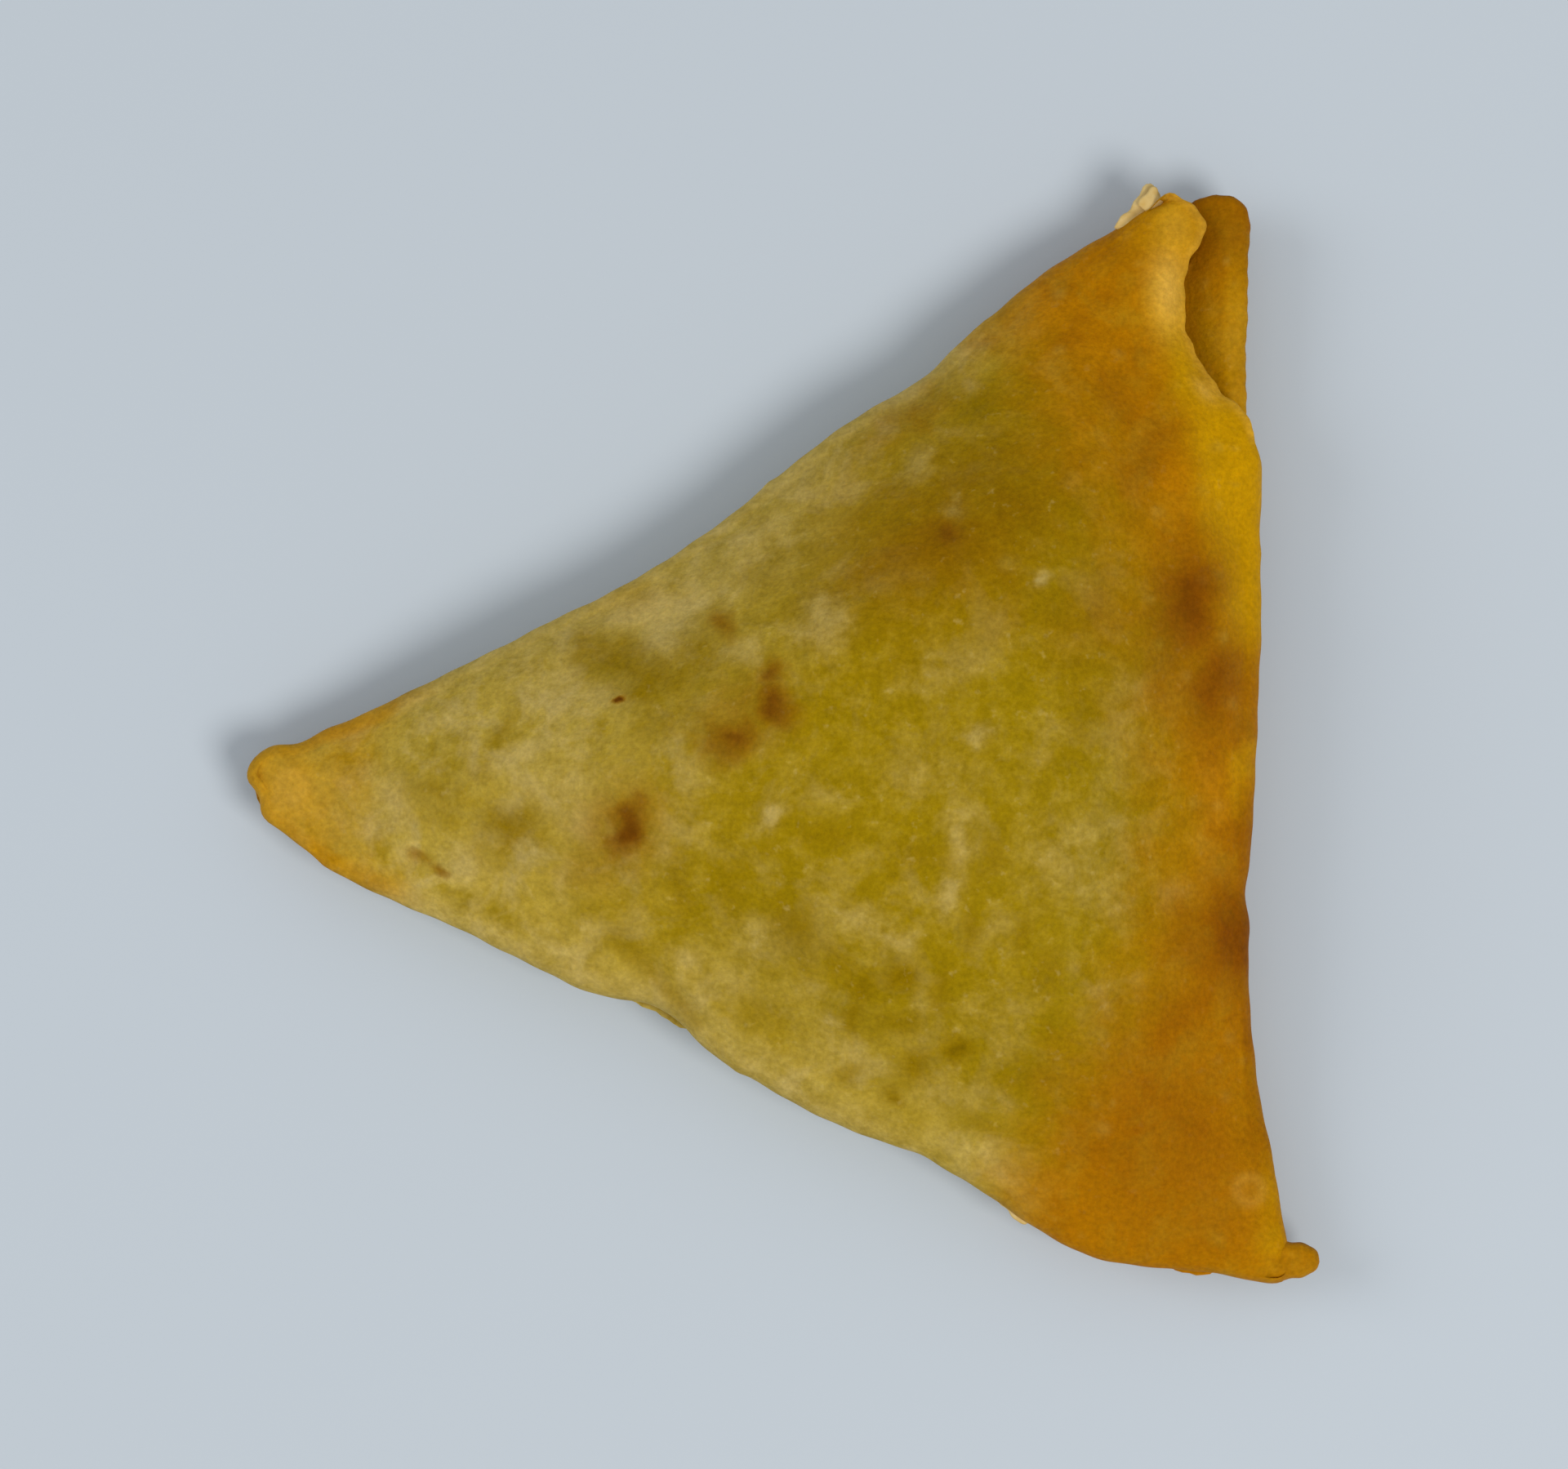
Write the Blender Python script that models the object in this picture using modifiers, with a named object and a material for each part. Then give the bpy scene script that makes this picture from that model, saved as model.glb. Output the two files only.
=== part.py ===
"""A fried triangular samosa, folded from one strip of thin wheat pastry round a savoury filling.

The parcel lies flat with its shown face up. The folded strip leaves one closed corner at -X, one open
corner at +Y, where the inner fold shows beside the outer sheet, and one corner at -Y, where a stub of
the inner layer pokes out. Lengths are in metres, +Z is up and the origin is under the middle of the box.
"""

import math

import bmesh
import bpy
from mathutils import Matrix, Vector

MM = 0.001

# Overall form
THICKNESS = 16.5 * MM  # at the middle, where the filling is deepest
SHEET = 0.8 * MM  # one layer of fried pastry
HEART = Vector((8.9, -1.8)) * MM  # the middle of the triangle, which every ring is drawn round

# The corners before they are rounded, seen from above
CLOSED_CORNER = Vector((-40.2, -3.1)) * MM
OPEN_CORNER = Vector((27.2, 37.3)) * MM
LIP_END = Vector((32.4, 20.6)) * MM  # where the outer sheet's free edge meets the long right side
TAIL_CORNER = Vector((35.3, -37.6)) * MM

# How far each edge strays outwards from its chord: one bow, one lean to its far half, and local bumps,
# each given as (place along the edge from 0 to 1, width from 0 to 1, height)
UPPER_BOW, UPPER_LEAN = -2.55 * MM, -0.6 * MM
LIP_BOW, LIP_LEAN, LIP_BUMPS = -2.0 * MM, 0.3 * MM, [(0.13, 0.09, 2.6 * MM)]
RIGHT_BOW, RIGHT_LEAN, RIGHT_BUMPS = -2.1 * MM, 0.9 * MM, [(0.53, 0.03, -0.35 * MM)]
LOWER_BOW, LOWER_LEAN, LOWER_BUMPS = 1.7 * MM, 0.3 * MM, [(0.17, 0.09, 2.3 * MM)]
LIP_SHARE = 0.25  # of the lip and the long right side together, how much is lip

# How far from a corner its rounding starts
CLOSED_ROUND, OPEN_ROUND, LIP_ROUND, TAIL_ROUND = 7.2 * MM, 1.2 * MM, 1.5 * MM, 2.5 * MM

# The folded rim: the height of its middle and half its thickness, at a corner and half way along a side
RIM_MIDDLE = (3.9 * MM, 5.2 * MM)
RIM_HALF = (1.5 * MM, 2.6 * MM)
RIM_FILL = 2.5  # the higher, the nearer to its corners a side keeps its full thickness
RIM_TOP_MEAN = sum(RIM_MIDDLE + RIM_HALF) / 2
RIM_ROUND = 1.6 * MM  # how far in from the outline the rim is full thickness
RIM_SQUARE = 0.45  # the rim stands upright over this share of its thickness
RIM_PROUD = 0.25 * MM  # the soft surface pulls in by this much at the outline
LIP_RAISE = 0.7 * MM  # the outer sheet lifts here over the inner fold
LIP_RAISE_REACH = 10 * MM
LIP_RAISE_PLACE = 0.4  # along the lip
CROWN_CORNERS = [Vector(corner) * MM for corner in ((-43.5, -3.1), (34.5, 44.0), (37.5, -42.5))]
CROWN_POWER = 0.8  # below 1 the faces are full near the rim, above 1 they are slack
SHOULDER = 7  # the higher, the nearer to the rim the faces start to fall away
SHOULDER_DROP = 0.6  # the lower, the more steeply they then fall
BASE_TILT = 3  # how late on the way to the rim the faces take up the rim's own height

# The underside
FLAT_SHARE = 0.66  # the share of the way from the heart to the rim that lies flat
UNDER_CURVE = 1.5  # how the underside then curves up to the rim
FLAP_MARGIN = 3.6 * MM  # the end flap stops this far short of the right side
FLAP_EDGE = 0.8 * MM  # over this width its edge thins out
FLAP_HEIGHT = 0.5 * SHEET  # it is pressed half way into the sheet it lies on
FLAP_FADE = 0.3  # how quickly its step appears beyond the flat part

# What shows of the inner layers
TONGUE_SIZE = Vector((8.6, 25.6, 3.4)) * MM
TONGUE_CENTRE = Vector((27.2, 23.8, 4.0)) * MM
TONGUE_TURN = math.radians(-8.0)
TONGUE_TAPER = 0.42  # how much narrower its tip is than its middle
STUB_SIZE = Vector((7.0, 2.7, 2.2)) * MM
STUB_CENTRE = Vector((32.6, -35.0, 3.5)) * MM
STUB_TURN = math.radians(-12.0)
SQUARENESS = 0.52  # of a layer's end: 1 is an ellipsoid, towards 0 it is a box

# The mesh
COLUMNS = 60  # round the parcel
CROWDING = [(OPEN_CORNER, 1.6, 14 * MM), (TAIL_CORNER, 1.2, 8 * MM), (CLOSED_CORNER, 1.2, 9 * MM)]
EDGE_STEPS = 48
BEND_STEPS = 6
LAYER_SEGMENTS, LAYER_RINGS = 20, 10
TOP_SHARES = (0.24, 0.46, 0.66, 0.82, 0.92)
UNDER_SHARES = (0.9, 0.78, FLAT_SHARE, 0.52, 0.28)


def chord_points(start, end, bow, lean, bumps=()):
    """The points of one edge, from start to end with the parcel on the right-hand side."""
    along = end - start
    outward = Vector((-along.y, along.x)).normalized()
    points = []
    for step in range(EDGE_STEPS + 1):
        t = step / EDGE_STEPS
        stray = bow * math.sin(math.pi * t) + lean * math.sin(2 * math.pi * t)
        stray += sum(high * math.exp(-(((t - at) / wide) ** 2)) for at, wide, high in bumps)
        points.append((start + along * t + outward * stray, t))
    return points


def round_corner(before, after, reach):
    """Two edges that meet, each cut back by reach, and the bend between them."""
    corner = before[-1][0]
    before = [p for p in before if (p[0] - corner).length > reach]
    after = [p for p in after if (p[0] - corner).length > reach]
    start, end = before[-1][0], after[0][0]
    bend = []
    for step in range(1, BEND_STEPS):
        t = step / BEND_STEPS
        bend.append((1 - t) ** 2 * start + 2 * t * (1 - t) * corner + t * t * end)
    return before, bend, after


def outline():
    """The parcel from above, clockwise from its closed corner: (place, side, share along that side).

    The upper side is 0, the lip and the long right side together are 1, and the lower side is 2.
    """
    upper = chord_points(CLOSED_CORNER, OPEN_CORNER, UPPER_BOW, UPPER_LEAN)
    lip = chord_points(OPEN_CORNER, LIP_END, LIP_BOW, LIP_LEAN, LIP_BUMPS)
    right = chord_points(LIP_END, TAIL_CORNER, RIGHT_BOW, RIGHT_LEAN, RIGHT_BUMPS)
    lower = chord_points(TAIL_CORNER, CLOSED_CORNER, LOWER_BOW, LOWER_LEAN, LOWER_BUMPS)
    lip = [(p, LIP_SHARE * t) for p, t in lip]
    right = [(p, LIP_SHARE + (1 - LIP_SHARE) * t) for p, t in right]

    upper, open_bend, lip = round_corner(upper, lip, OPEN_ROUND)
    lip, lip_bend, right = round_corner(lip, right, LIP_ROUND)
    right, tail_bend, lower = round_corner(right, lower, TAIL_ROUND)
    lower, closed_bend, upper = round_corner(lower, upper, CLOSED_ROUND)

    turn = len(closed_bend) // 2
    points = [(p, 0, 0.0) for p in closed_bend[turn:]]
    points += [(p, 0, t) for p, t in upper]
    points += [(p, 0, 1.0) for p in open_bend[:2]] + [(p, 1, 0.0) for p in open_bend[2:]]
    points += [(p, 1, t) for p, t in lip]
    points += [(p, 1, LIP_SHARE) for p in lip_bend]
    points += [(p, 1, t) for p, t in right]
    points += [(p, 1, 1.0) for p in tail_bend[:2]] + [(p, 2, 0.0) for p in tail_bend[2:]]
    points += [(p, 2, t) for p, t in lower]
    points += [(p, 2, 1.0) for p in closed_bend[:turn]]
    return points


def columns():
    """The outline again at COLUMNS places, evenly spaced but closer together round the corners."""
    points = outline()
    reach = [0.0]
    for (here, _, _), (there, _, _) in zip(points, points[1:] + points[:1]):
        middle = (here + there) / 2
        crowding = 1.0
        for corner, more, far in CROWDING:
            crowding += more * math.exp(-(((middle - corner).length / far) ** 2))
        reach.append(reach[-1] + (there - here).length * crowding)
    chosen = []
    for number in range(COLUMNS):
        wanted = reach[-1] * number / COLUMNS
        index = max(i for i, far in enumerate(reach[:-1]) if far <= wanted)
        part = (wanted - reach[index]) / (reach[index + 1] - reach[index])
        here, side, share = points[index]
        there, next_side, next_share = points[(index + 1) % len(points)]
        if next_side == side:
            share += (next_share - share) * part
        chosen.append((here.lerp(there, part), side, share))
    return chosen


def area(a, b, c):
    return (b - a).cross(c - a) / 2


def crown(place, out):
    """From about 1 over the heart to 0 on the rim: the product of the distances to three folds."""
    a, b, c = CROWN_CORNERS
    shares = (area(place, b, c) * area(a, place, c) * area(a, b, place)) / area(a, b, c) ** 3
    return max(27 * shares, 0.0) ** CROWN_POWER * (1 - out**SHOULDER) ** SHOULDER_DROP


def rim(side, share, place):
    """The height of the rim's middle and half its thickness at one place on the outline."""
    fullness = 1 - abs(2 * share - 1) ** RIM_FILL
    middle = RIM_MIDDLE[0] + (RIM_MIDDLE[1] - RIM_MIDDLE[0]) * fullness
    half = RIM_HALF[0] + (RIM_HALF[1] - RIM_HALF[0]) * fullness
    far = (place - OPEN_CORNER.lerp(LIP_END, LIP_RAISE_PLACE)).length
    lift = LIP_RAISE * math.exp(-((far / LIP_RAISE_REACH) ** 2))
    return middle + lift, half


def flap_step(place):
    """How much higher the underside is where the end flap no longer covers it."""
    gap = LIP_END.x - FLAP_MARGIN - place.x
    return FLAP_HEIGHT * (1 - math.tanh(gap / FLAP_EDGE))


def parcel_mesh():
    """A loft from the heart of the shown face, over the rim, to the heart of the underside."""
    mesh = bmesh.new()
    rings = []
    for place, side, share in columns():
        middle, half = rim(side, share, place)
        inward = HEART - place
        points = []
        for out in TOP_SHARES:
            spot = HEART.lerp(place, out)
            base = RIM_TOP_MEAN + (middle + half - RIM_TOP_MEAN) * out**BASE_TILT
            points.append((spot, base + (THICKNESS - base) * crown(spot, out)))
        spot = place + inward.normalized() * RIM_ROUND
        points.append((spot, middle + half))
        edge = place - inward.normalized() * RIM_PROUD
        points.append((edge, middle + half * RIM_SQUARE))
        points.append((edge, middle - half * RIM_SQUARE))
        points.append((spot, middle - half))
        for out in UNDER_SHARES:
            spot = HEART.lerp(place, out)
            rise = max((out - FLAT_SHARE) / (1 - FLAT_SHARE), 0.0) ** UNDER_CURVE
            points.append((spot, (middle - half) * rise + flap_step(spot) * rise**FLAP_FADE))
        rings.append([mesh.verts.new((spot.x, spot.y, high)) for spot, high in points])

    top_pole = mesh.verts.new((HEART.x, HEART.y, THICKNESS))
    under_pole = mesh.verts.new((HEART.x, HEART.y, 0.0))
    for here, there in zip(rings, rings[1:] + rings[:1]):
        mesh.faces.new((top_pole, there[0], here[0]))
        mesh.faces.new((under_pole, here[-1], there[-1]))
        for row in range(len(here) - 1):
            mesh.faces.new((here[row], there[row], there[row + 1], here[row + 1]))
    bmesh.ops.recalc_face_normals(mesh, faces=mesh.faces)
    return finished_mesh(mesh, "parcel")


def finished_mesh(mesh, name):
    data = bpy.data.meshes.new(name)
    mesh.to_mesh(data)
    mesh.free()
    data.shade_smooth()
    return data


def layer_mesh(name, size, centre, turn, taper=0.0):
    """A rounded slab for an inner layer's end, lying along Y and narrower towards its far end by taper."""
    mesh = bmesh.new()
    bmesh.ops.create_uvsphere(mesh, u_segments=LAYER_SEGMENTS, v_segments=LAYER_RINGS, radius=1.0)
    place = Matrix.Translation(centre) @ Matrix.Rotation(turn, 4, "Z")
    for vert in mesh.verts:
        full = Vector(math.copysign(abs(along) ** SQUARENESS, along) for along in vert.co)
        full.x *= 1 - taper * max(full.y, 0.0)
        vert.co = place @ Vector(along * side / 2 for along, side in zip(full, size))
    return finished_mesh(mesh, name)


def fried_pastry():
    material = bpy.data.materials.new("fried_pastry")
    material.use_nodes = True
    shader = material.node_tree.nodes["Principled BSDF"]
    shader.inputs["Base Color"].default_value = (0.35, 0.20, 0.02, 1.0)
    shader.inputs["Roughness"].default_value = 0.55
    shader.inputs["Metallic"].default_value = 0.0
    return material


def add_object(name, data, collection, material):
    data.materials.append(material)
    made = bpy.data.objects.new(name, data)
    collection.objects.link(made)
    return made


def smooth(made, levels):
    subdivision = made.modifiers.new("soft", "SUBSURF")
    subdivision.levels = levels
    subdivision.render_levels = levels


def collection_named(name):
    made = bpy.data.collections.new(name)
    bpy.context.scene.collection.children.link(made)
    return made


def main():
    for old in list(bpy.data.objects):
        bpy.data.objects.remove(old)

    parts = collection_named("samosa")
    helpers = collection_named("inner_layers")
    pastry = fried_pastry()

    samosa = add_object("samosa", parcel_mesh(), parts, pastry)
    smooth(samosa, 1)
    tongue = layer_mesh("tongue", TONGUE_SIZE, TONGUE_CENTRE, TONGUE_TURN, TONGUE_TAPER)
    stub = layer_mesh("stub", STUB_SIZE, STUB_CENTRE, STUB_TURN)
    for name, data in (("tongue", tongue), ("stub", stub)):
        layer = add_object(name, data, helpers, pastry)
        layer.hide_render = True
        layer.display_type = "WIRE"
        union = samosa.modifiers.new(f"{name}_joined", "BOOLEAN")
        union.operation = "UNION"
        union.object = layer


main()
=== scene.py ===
"""The looks of a fried triangular samosa: thin wheat pastry folded round a savoury filling.

The outer sheet is one closed body between an upper and a lower surface, with a slot at the open corner
where the inner fold lies. Plan places are in the parcel's own millimetres, and heights are above what it
lies on.
"""

import math

import bpy
import numpy as np
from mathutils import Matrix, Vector


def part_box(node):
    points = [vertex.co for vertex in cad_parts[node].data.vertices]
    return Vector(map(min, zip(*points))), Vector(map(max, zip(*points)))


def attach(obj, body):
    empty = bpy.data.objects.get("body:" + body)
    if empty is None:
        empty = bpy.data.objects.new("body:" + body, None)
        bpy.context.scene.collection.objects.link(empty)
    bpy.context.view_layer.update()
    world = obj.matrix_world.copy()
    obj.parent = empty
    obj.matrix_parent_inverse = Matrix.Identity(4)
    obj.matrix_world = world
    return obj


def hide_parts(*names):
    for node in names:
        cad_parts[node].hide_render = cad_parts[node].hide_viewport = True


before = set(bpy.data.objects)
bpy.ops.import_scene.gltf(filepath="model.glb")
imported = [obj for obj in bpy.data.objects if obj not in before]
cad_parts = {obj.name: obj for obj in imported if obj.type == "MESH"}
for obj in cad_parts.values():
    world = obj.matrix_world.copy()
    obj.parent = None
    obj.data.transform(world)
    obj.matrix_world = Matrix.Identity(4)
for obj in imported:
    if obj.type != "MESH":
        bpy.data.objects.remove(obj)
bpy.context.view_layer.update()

LOW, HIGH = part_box("samosa")
PARCEL_WIDE = 72.15  # mm from the closed corner to the stub
MM = (HIGH[0] - LOW[0]) / PARCEL_WIDE
TOP = (HIGH[2] - LOW[2]) / MM  # mm, the height of the shown face over the filling
SHEET = 0.8  # mm, one layer of fried pastry
HEART = np.array([8.9, -1.8])  # the middle of the triangle
MIDDLE = np.array([-1.0, 0.5])  # where the sheet's mesh spreads out from: it sees the whole lip side on

EYE, AIM = (0.0005, -0.038, 0.418), (0.0005, 0.0, 0.006)  # metres, where the camera stands and what it faces
MARK_LEVEL = 7.0  # mm, the height of the flat sheet that the marks and blisters are laid out on
MARK_ZERO = (0.4, -0.55)  # mm, the plan place of that layout's own zero

# ---------------------------------------------------------------- outlines, clockwise seen from above

CLOSED_CORNER, OPEN_CORNER = (-40.2, -3.4), (26.9, 37.4)
LIP_PLACES = [  # the torn free edge of the outer sheet, from the open corner down
    OPEN_CORNER, (28.2, 36.6), (29.3, 35.3), (29.0, 33.9), (28.1, 32.2), (27.9, 30.6), (27.9, 28.7),
    (28.2, 26.9), (29.1, 25.1), (30.3, 23.4), (31.9, 21.9), (32.8, 20.0),
]
LIP_END, TAIL_CORNER = LIP_PLACES[-1], (35.3, -37.6)
CLOSED_PLACES = [  # the blunt folded tip
    (-33.2, -6.8), (-34.9, -5.5), (-35.3, -4.1), (-36.1, -2.8), (-35.7, -1.5), (-34.5, -0.6), (-32.6, -0.4),
]
# Each edge: how far it bows outwards, how far it leans to its far half, and bumps of (place, width, height)
UPPER_EDGE = (-2.9, -0.65, [(0.085, 0.03, 0.5), (0.88, 0.05, 0.5), (0.47, 0.13, -0.75), (0.725, 0.045, -0.7)])
RIGHT_EDGE = (-1.9, 0.85, [(0.04, 0.05, 0.25), (0.53, 0.03, -0.35), (0.575, 0.02, 0.1), (0.85, 0.08, 0.3)])
LOWER_EDGE = (  # with the short dent of the tuck
    2.15, 0.5, [(0.17, 0.09, 2.2), (0.57, 0.04, -1.4), (0.325, 0.02, -0.15), (0.85, 0.1, 0.6), (0.41, 0.05, 0.35)]
)
CLOSED_ROUND, OPEN_ROUND, LIP_ROUND, TAIL_ROUND = 10.5, 0.7, 1.4, 2.5
EDGE_STEPS = 240


def smooth(value, low, high):
    """0 below low, 1 above high and a soft step between, or the reverse if low is above high."""
    share = np.clip((value - low) / (high - low), 0, 1)
    return share * share * (3 - 2 * share)


def hill(x, y, place, size, turn=0.0):
    """A soft spot with its middle at place: size is how far it reaches along and across, turn in degrees."""
    dx, dy = x - place[0], y - place[1]
    c, s = math.cos(math.radians(turn)), math.sin(math.radians(turn))
    along, across = dx * c + dy * s, dy * c - dx * s
    return np.exp(-((along / size[0]) ** 2) - (across / size[1]) ** 2)


def stroke(x, y, line, wide):
    """A soft line through the listed places, fading wide mm to each side of it and past its ends."""
    line = np.array(line, float)
    places = np.column_stack([x, y])
    nearest = np.full(len(places), np.inf)
    for start, end in zip(line, line[1:]):
        along = end - start
        t = np.clip((places - start) @ along / (along @ along), 0, 1)
        nearest = np.minimum(nearest, np.hypot(*(places - start - np.outer(t, along)).T))
    return np.exp(-((nearest / wide) ** 2))


def laid_out(x, y, z):
    """Where these places are in the layout of marks, which the camera sees laid over the raised face."""
    eye_x, eye_y, eye_z = (side / MM for side in EYE)
    nearer = (eye_z - MARK_LEVEL) / (eye_z - z)
    return eye_x + (x - eye_x) * nearer - MARK_ZERO[0], eye_y + (y - eye_y) * nearer - MARK_ZERO[1]


def wander(x, y, far, size, seed):
    """The places moved about by up to far mm in soft uneven waves of about that size in mm."""
    random = np.random.default_rng(seed)
    moved = []
    for here in (x, y):
        sway = np.zeros(x.shape)
        for _ in range(7):
            turn, start = random.uniform(0, 2 * math.pi, 2)
            length = size * random.uniform(0.5, 1.7)
            sway += np.sin((x * math.cos(turn) + y * math.sin(turn)) * 2 * math.pi / length + start)
        moved.append(here + sway * far / 3)
    return moved


def edge_curve(start, end, bow, lean, bumps):
    start, end = np.array(start, float), np.array(end, float)
    along = end - start
    outward = np.array([-along[1], along[0]]) / np.hypot(*along)
    t = np.linspace(0, 1, EDGE_STEPS + 1)
    stray = bow * np.sin(np.pi * t) + lean * np.sin(2 * np.pi * t)
    for place, wide, high in bumps:
        stray += high * np.exp(-(((t - place) / wide) ** 2))
    return start + np.outer(t, along) + np.outer(stray, outward)


def through(places):
    """A smooth curve through all the places, with as many steps as an edge."""
    line = np.array(places, float)
    line = np.concatenate([2 * line[:1] - line[1:2], line, 2 * line[-1:] - line[-2:-1]])
    curve = []
    for at in np.linspace(0, len(places) - 1, EDGE_STEPS + 1):
        i = min(int(at), len(places) - 2)
        a, b, c, d = line[i : i + 4]
        t = at - i
        slope = (c - a, 2 * a - 5 * b + 4 * c - d, 3 * (b - c) + d - a)
        curve.append(b + t / 2 * (slope[0] + t * (slope[1] + t * slope[2])))
    return np.array(curve)


def rounded(before, after, reach, places=()):
    """Two edges that meet, cut back by reach, and the two halves of the bend, or line, between them added."""
    corner = before[-1]
    before = before[np.hypot(*(before - corner).T) > reach]
    after = after[np.hypot(*(after - corner).T) > reach]
    t = np.linspace(0, 1, 25)[:, None]
    bend = (1 - t) ** 2 * before[-1] + 2 * t * (1 - t) * corner + t * t * after[0]
    if places:
        bend = through([before[-1], *places, after[0]])
    half = len(bend) // 2
    return np.concatenate([before, bend[1 : half + 1]]), np.concatenate([bend[half:-1], after])


def evenly(curve, count):
    """count places along the curve, evenly spaced, from its start and without its end."""
    reach = np.concatenate([[0], np.cumsum(np.hypot(*np.diff(curve, axis=0).T))])
    wanted = np.linspace(0, reach[-1], count + 1)[:-1]
    return np.stack([np.interp(wanted, reach, curve[:, axis]) for axis in (0, 1)], axis=1)


def parcel_sides():
    """The three sides of the outer sheet, and the lip, which is the first stretch of its right side."""
    upper = edge_curve(CLOSED_CORNER, OPEN_CORNER, *UPPER_EDGE)
    lip = through(LIP_PLACES)
    right = edge_curve(LIP_END, TAIL_CORNER, *RIGHT_EDGE)
    lower = edge_curve(TAIL_CORNER, CLOSED_CORNER, *LOWER_EDGE)
    upper, lip = rounded(upper, lip, OPEN_ROUND)
    lip, right = rounded(lip, right, LIP_ROUND)
    right, lower = rounded(right, lower, TAIL_ROUND)
    lower, upper = rounded(lower, upper, CLOSED_ROUND, CLOSED_PLACES)
    return [upper, np.concatenate([lip, right]), lower], lip


def outline(corners, rounds, bows):
    """The outline of an inner layer or a flake, of bowed edges between rounded corners, as three sides."""
    number = len(corners)
    edges = [edge_curve(corners[i], corners[(i + 1) % number], bows[i], 0.0, []) for i in range(number)]
    for i in range(number):
        after = (i + 1) % number
        edges[i], edges[after] = rounded(edges[i], edges[after], rounds[after])
    return [np.concatenate(edges[:-2]), edges[-2], edges[-1]]


def ragged(loop, height, lengths, seed):
    """The loop with an uneven edge: waves of these lengths in mm, up to about height in all."""
    random = np.random.default_rng(seed)
    outward = outward_of(loop)
    step = np.hypot(*(np.roll(loop, -1, axis=0) - loop).T)
    reach, whole = np.cumsum(step), step.sum()
    stray = np.zeros(len(loop))
    for length in lengths:
        turns = max(round(whole / length), 1)
        stray += np.sin(2 * np.pi * (turns * reach / whole + random.random())) * random.uniform(0.5, 1)
    return loop + outward * (stray * height / len(lengths))[:, None]


def outward_of(loop):
    along = np.roll(loop, -2, axis=0) - np.roll(loop, 2, axis=0)
    outward = np.stack([-along[:, 1], along[:, 0]], axis=1)
    return outward / np.hypot(*outward.T)[:, None]


SIDES, LIP = parcel_sides()
RIM = np.concatenate([evenly(side, 80) for side in SIDES])  # the whole outline, coarsely
LIP_LINE = evenly(LIP, 60)
SOFT_RIDGE = 0.7  # mm


# ---------------------------------------------------------------- closed bodies between two surfaces


def lattice(count):
    """A triangle of small triangles: each point's shares of three corners, its faces and its loop."""
    number = {}
    shares = []
    for i in range(count + 1):
        for j in range(count + 1 - i):
            number[i, j] = len(shares)
            shares.append(((count - i - j) / count, i / count, j / count))
    faces = []
    for i in range(count):
        for j in range(count - i):
            faces.append((number[i, j], number[i, j + 1], number[i + 1, j]))
            if j < count - i - 1:
                faces.append((number[i + 1, j], number[i, j + 1], number[i + 1, j + 1]))
    loop = [number[i, 0] for i in range(count)]
    loop += [number[count - j, j] for j in range(count)]
    loop += [number[0, count - i] for i in range(count)]
    return np.array(shares), np.array(faces), np.array(loop)


def spread(shares, loop_places, heart):
    """The lattice laid out between heart and a loop: its inner lines run to a softer loop, so they stay even."""
    count = len(loop_places) // 3
    out = 1 - 3 * shares.min(axis=1)
    on_rim = 1 / 3 + (shares - 1 / 3) / np.maximum(out, 1e-9)[:, None]
    side = np.array([1, 2, 0])[shares.argmin(axis=1)]
    share = on_rim[np.arange(len(shares)), np.array([1, 2, 0])[side]]
    turn = (side + np.clip(share, 0, 1)) * count
    first = np.floor(turn).astype(int)
    part = (turn - first)[:, None]
    last = 3 * count
    soft = loop_places
    for step in (1, 2, 4, 8):
        soft = (np.roll(soft, step, axis=0) + 2 * soft + np.roll(soft, -step, axis=0)) / 4
    ends = [loop[first % last] * (1 - part) + loop[(first + 1) % last] * part for loop in (soft, loop_places)]
    rim = ends[0] + (ends[1] - ends[0]) * smooth(out, 0.75, 1.0)[:, None]
    return heart + (rim - heart) * out[:, None]


def unfolded(loop, heart):
    """The loop with no stretch that turns back round the heart, so that a sheet can be laid out inside it."""
    gap = loop - heart
    turn = np.unwrap(np.arctan2(gap[:, 1], gap[:, 0]))
    onwards = np.minimum.accumulate(turn)
    back = np.maximum.accumulate(turn[::-1])[::-1]
    turn = (onwards + back) / 2
    return heart + np.column_stack([np.cos(turn), np.sin(turn)]) * np.hypot(*gap.T)[:, None]


def distance_to(places, line):
    """How far each place is from the line through these points."""
    start, along = line[:-1], np.diff(line, axis=0)
    long = np.maximum((along**2).sum(axis=1), 1e-9)
    nearest = []
    for chunk in np.array_split(places, max(len(places) // 1500, 1)):
        gap = chunk[:, None, :] - start[None]
        t = np.clip((gap * along).sum(axis=2) / long, 0, 1)
        nearest.append(np.sqrt(((gap - t[..., None] * along) ** 2).sum(axis=2).min(axis=1)))
    return np.concatenate(nearest)


def inside_of(places, loop):
    """How far in from a three-sided loop each place is, soft where two of the sides are as near."""
    count = len(loop) // 3
    line = np.concatenate([loop, loop[:1]])
    gaps = np.stack([distance_to(places, line[i * count : (i + 1) * count + 1]) for i in range(3)])
    return -SOFT_RIDGE * np.log(np.exp(-gaps / SOFT_RIDGE).sum(axis=0))


def relaxed(places, faces, fixed, rounds):
    """The places evened out over the lattice, with those at fixed kept."""
    ends = np.concatenate([faces[:, [0, 1]], faces[:, [1, 2]], faces[:, [2, 0]]])
    ends = np.concatenate([ends, ends[:, ::-1]])
    near = np.bincount(ends[:, 0], minlength=len(places))
    kept = places[fixed]
    for _ in range(rounds):
        sums = [np.bincount(ends[:, 0], along[ends[:, 1]], len(places)) for along in places.T]
        places = np.stack(sums, axis=1) / near[:, None]
        places[fixed] = kept
    return places


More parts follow.
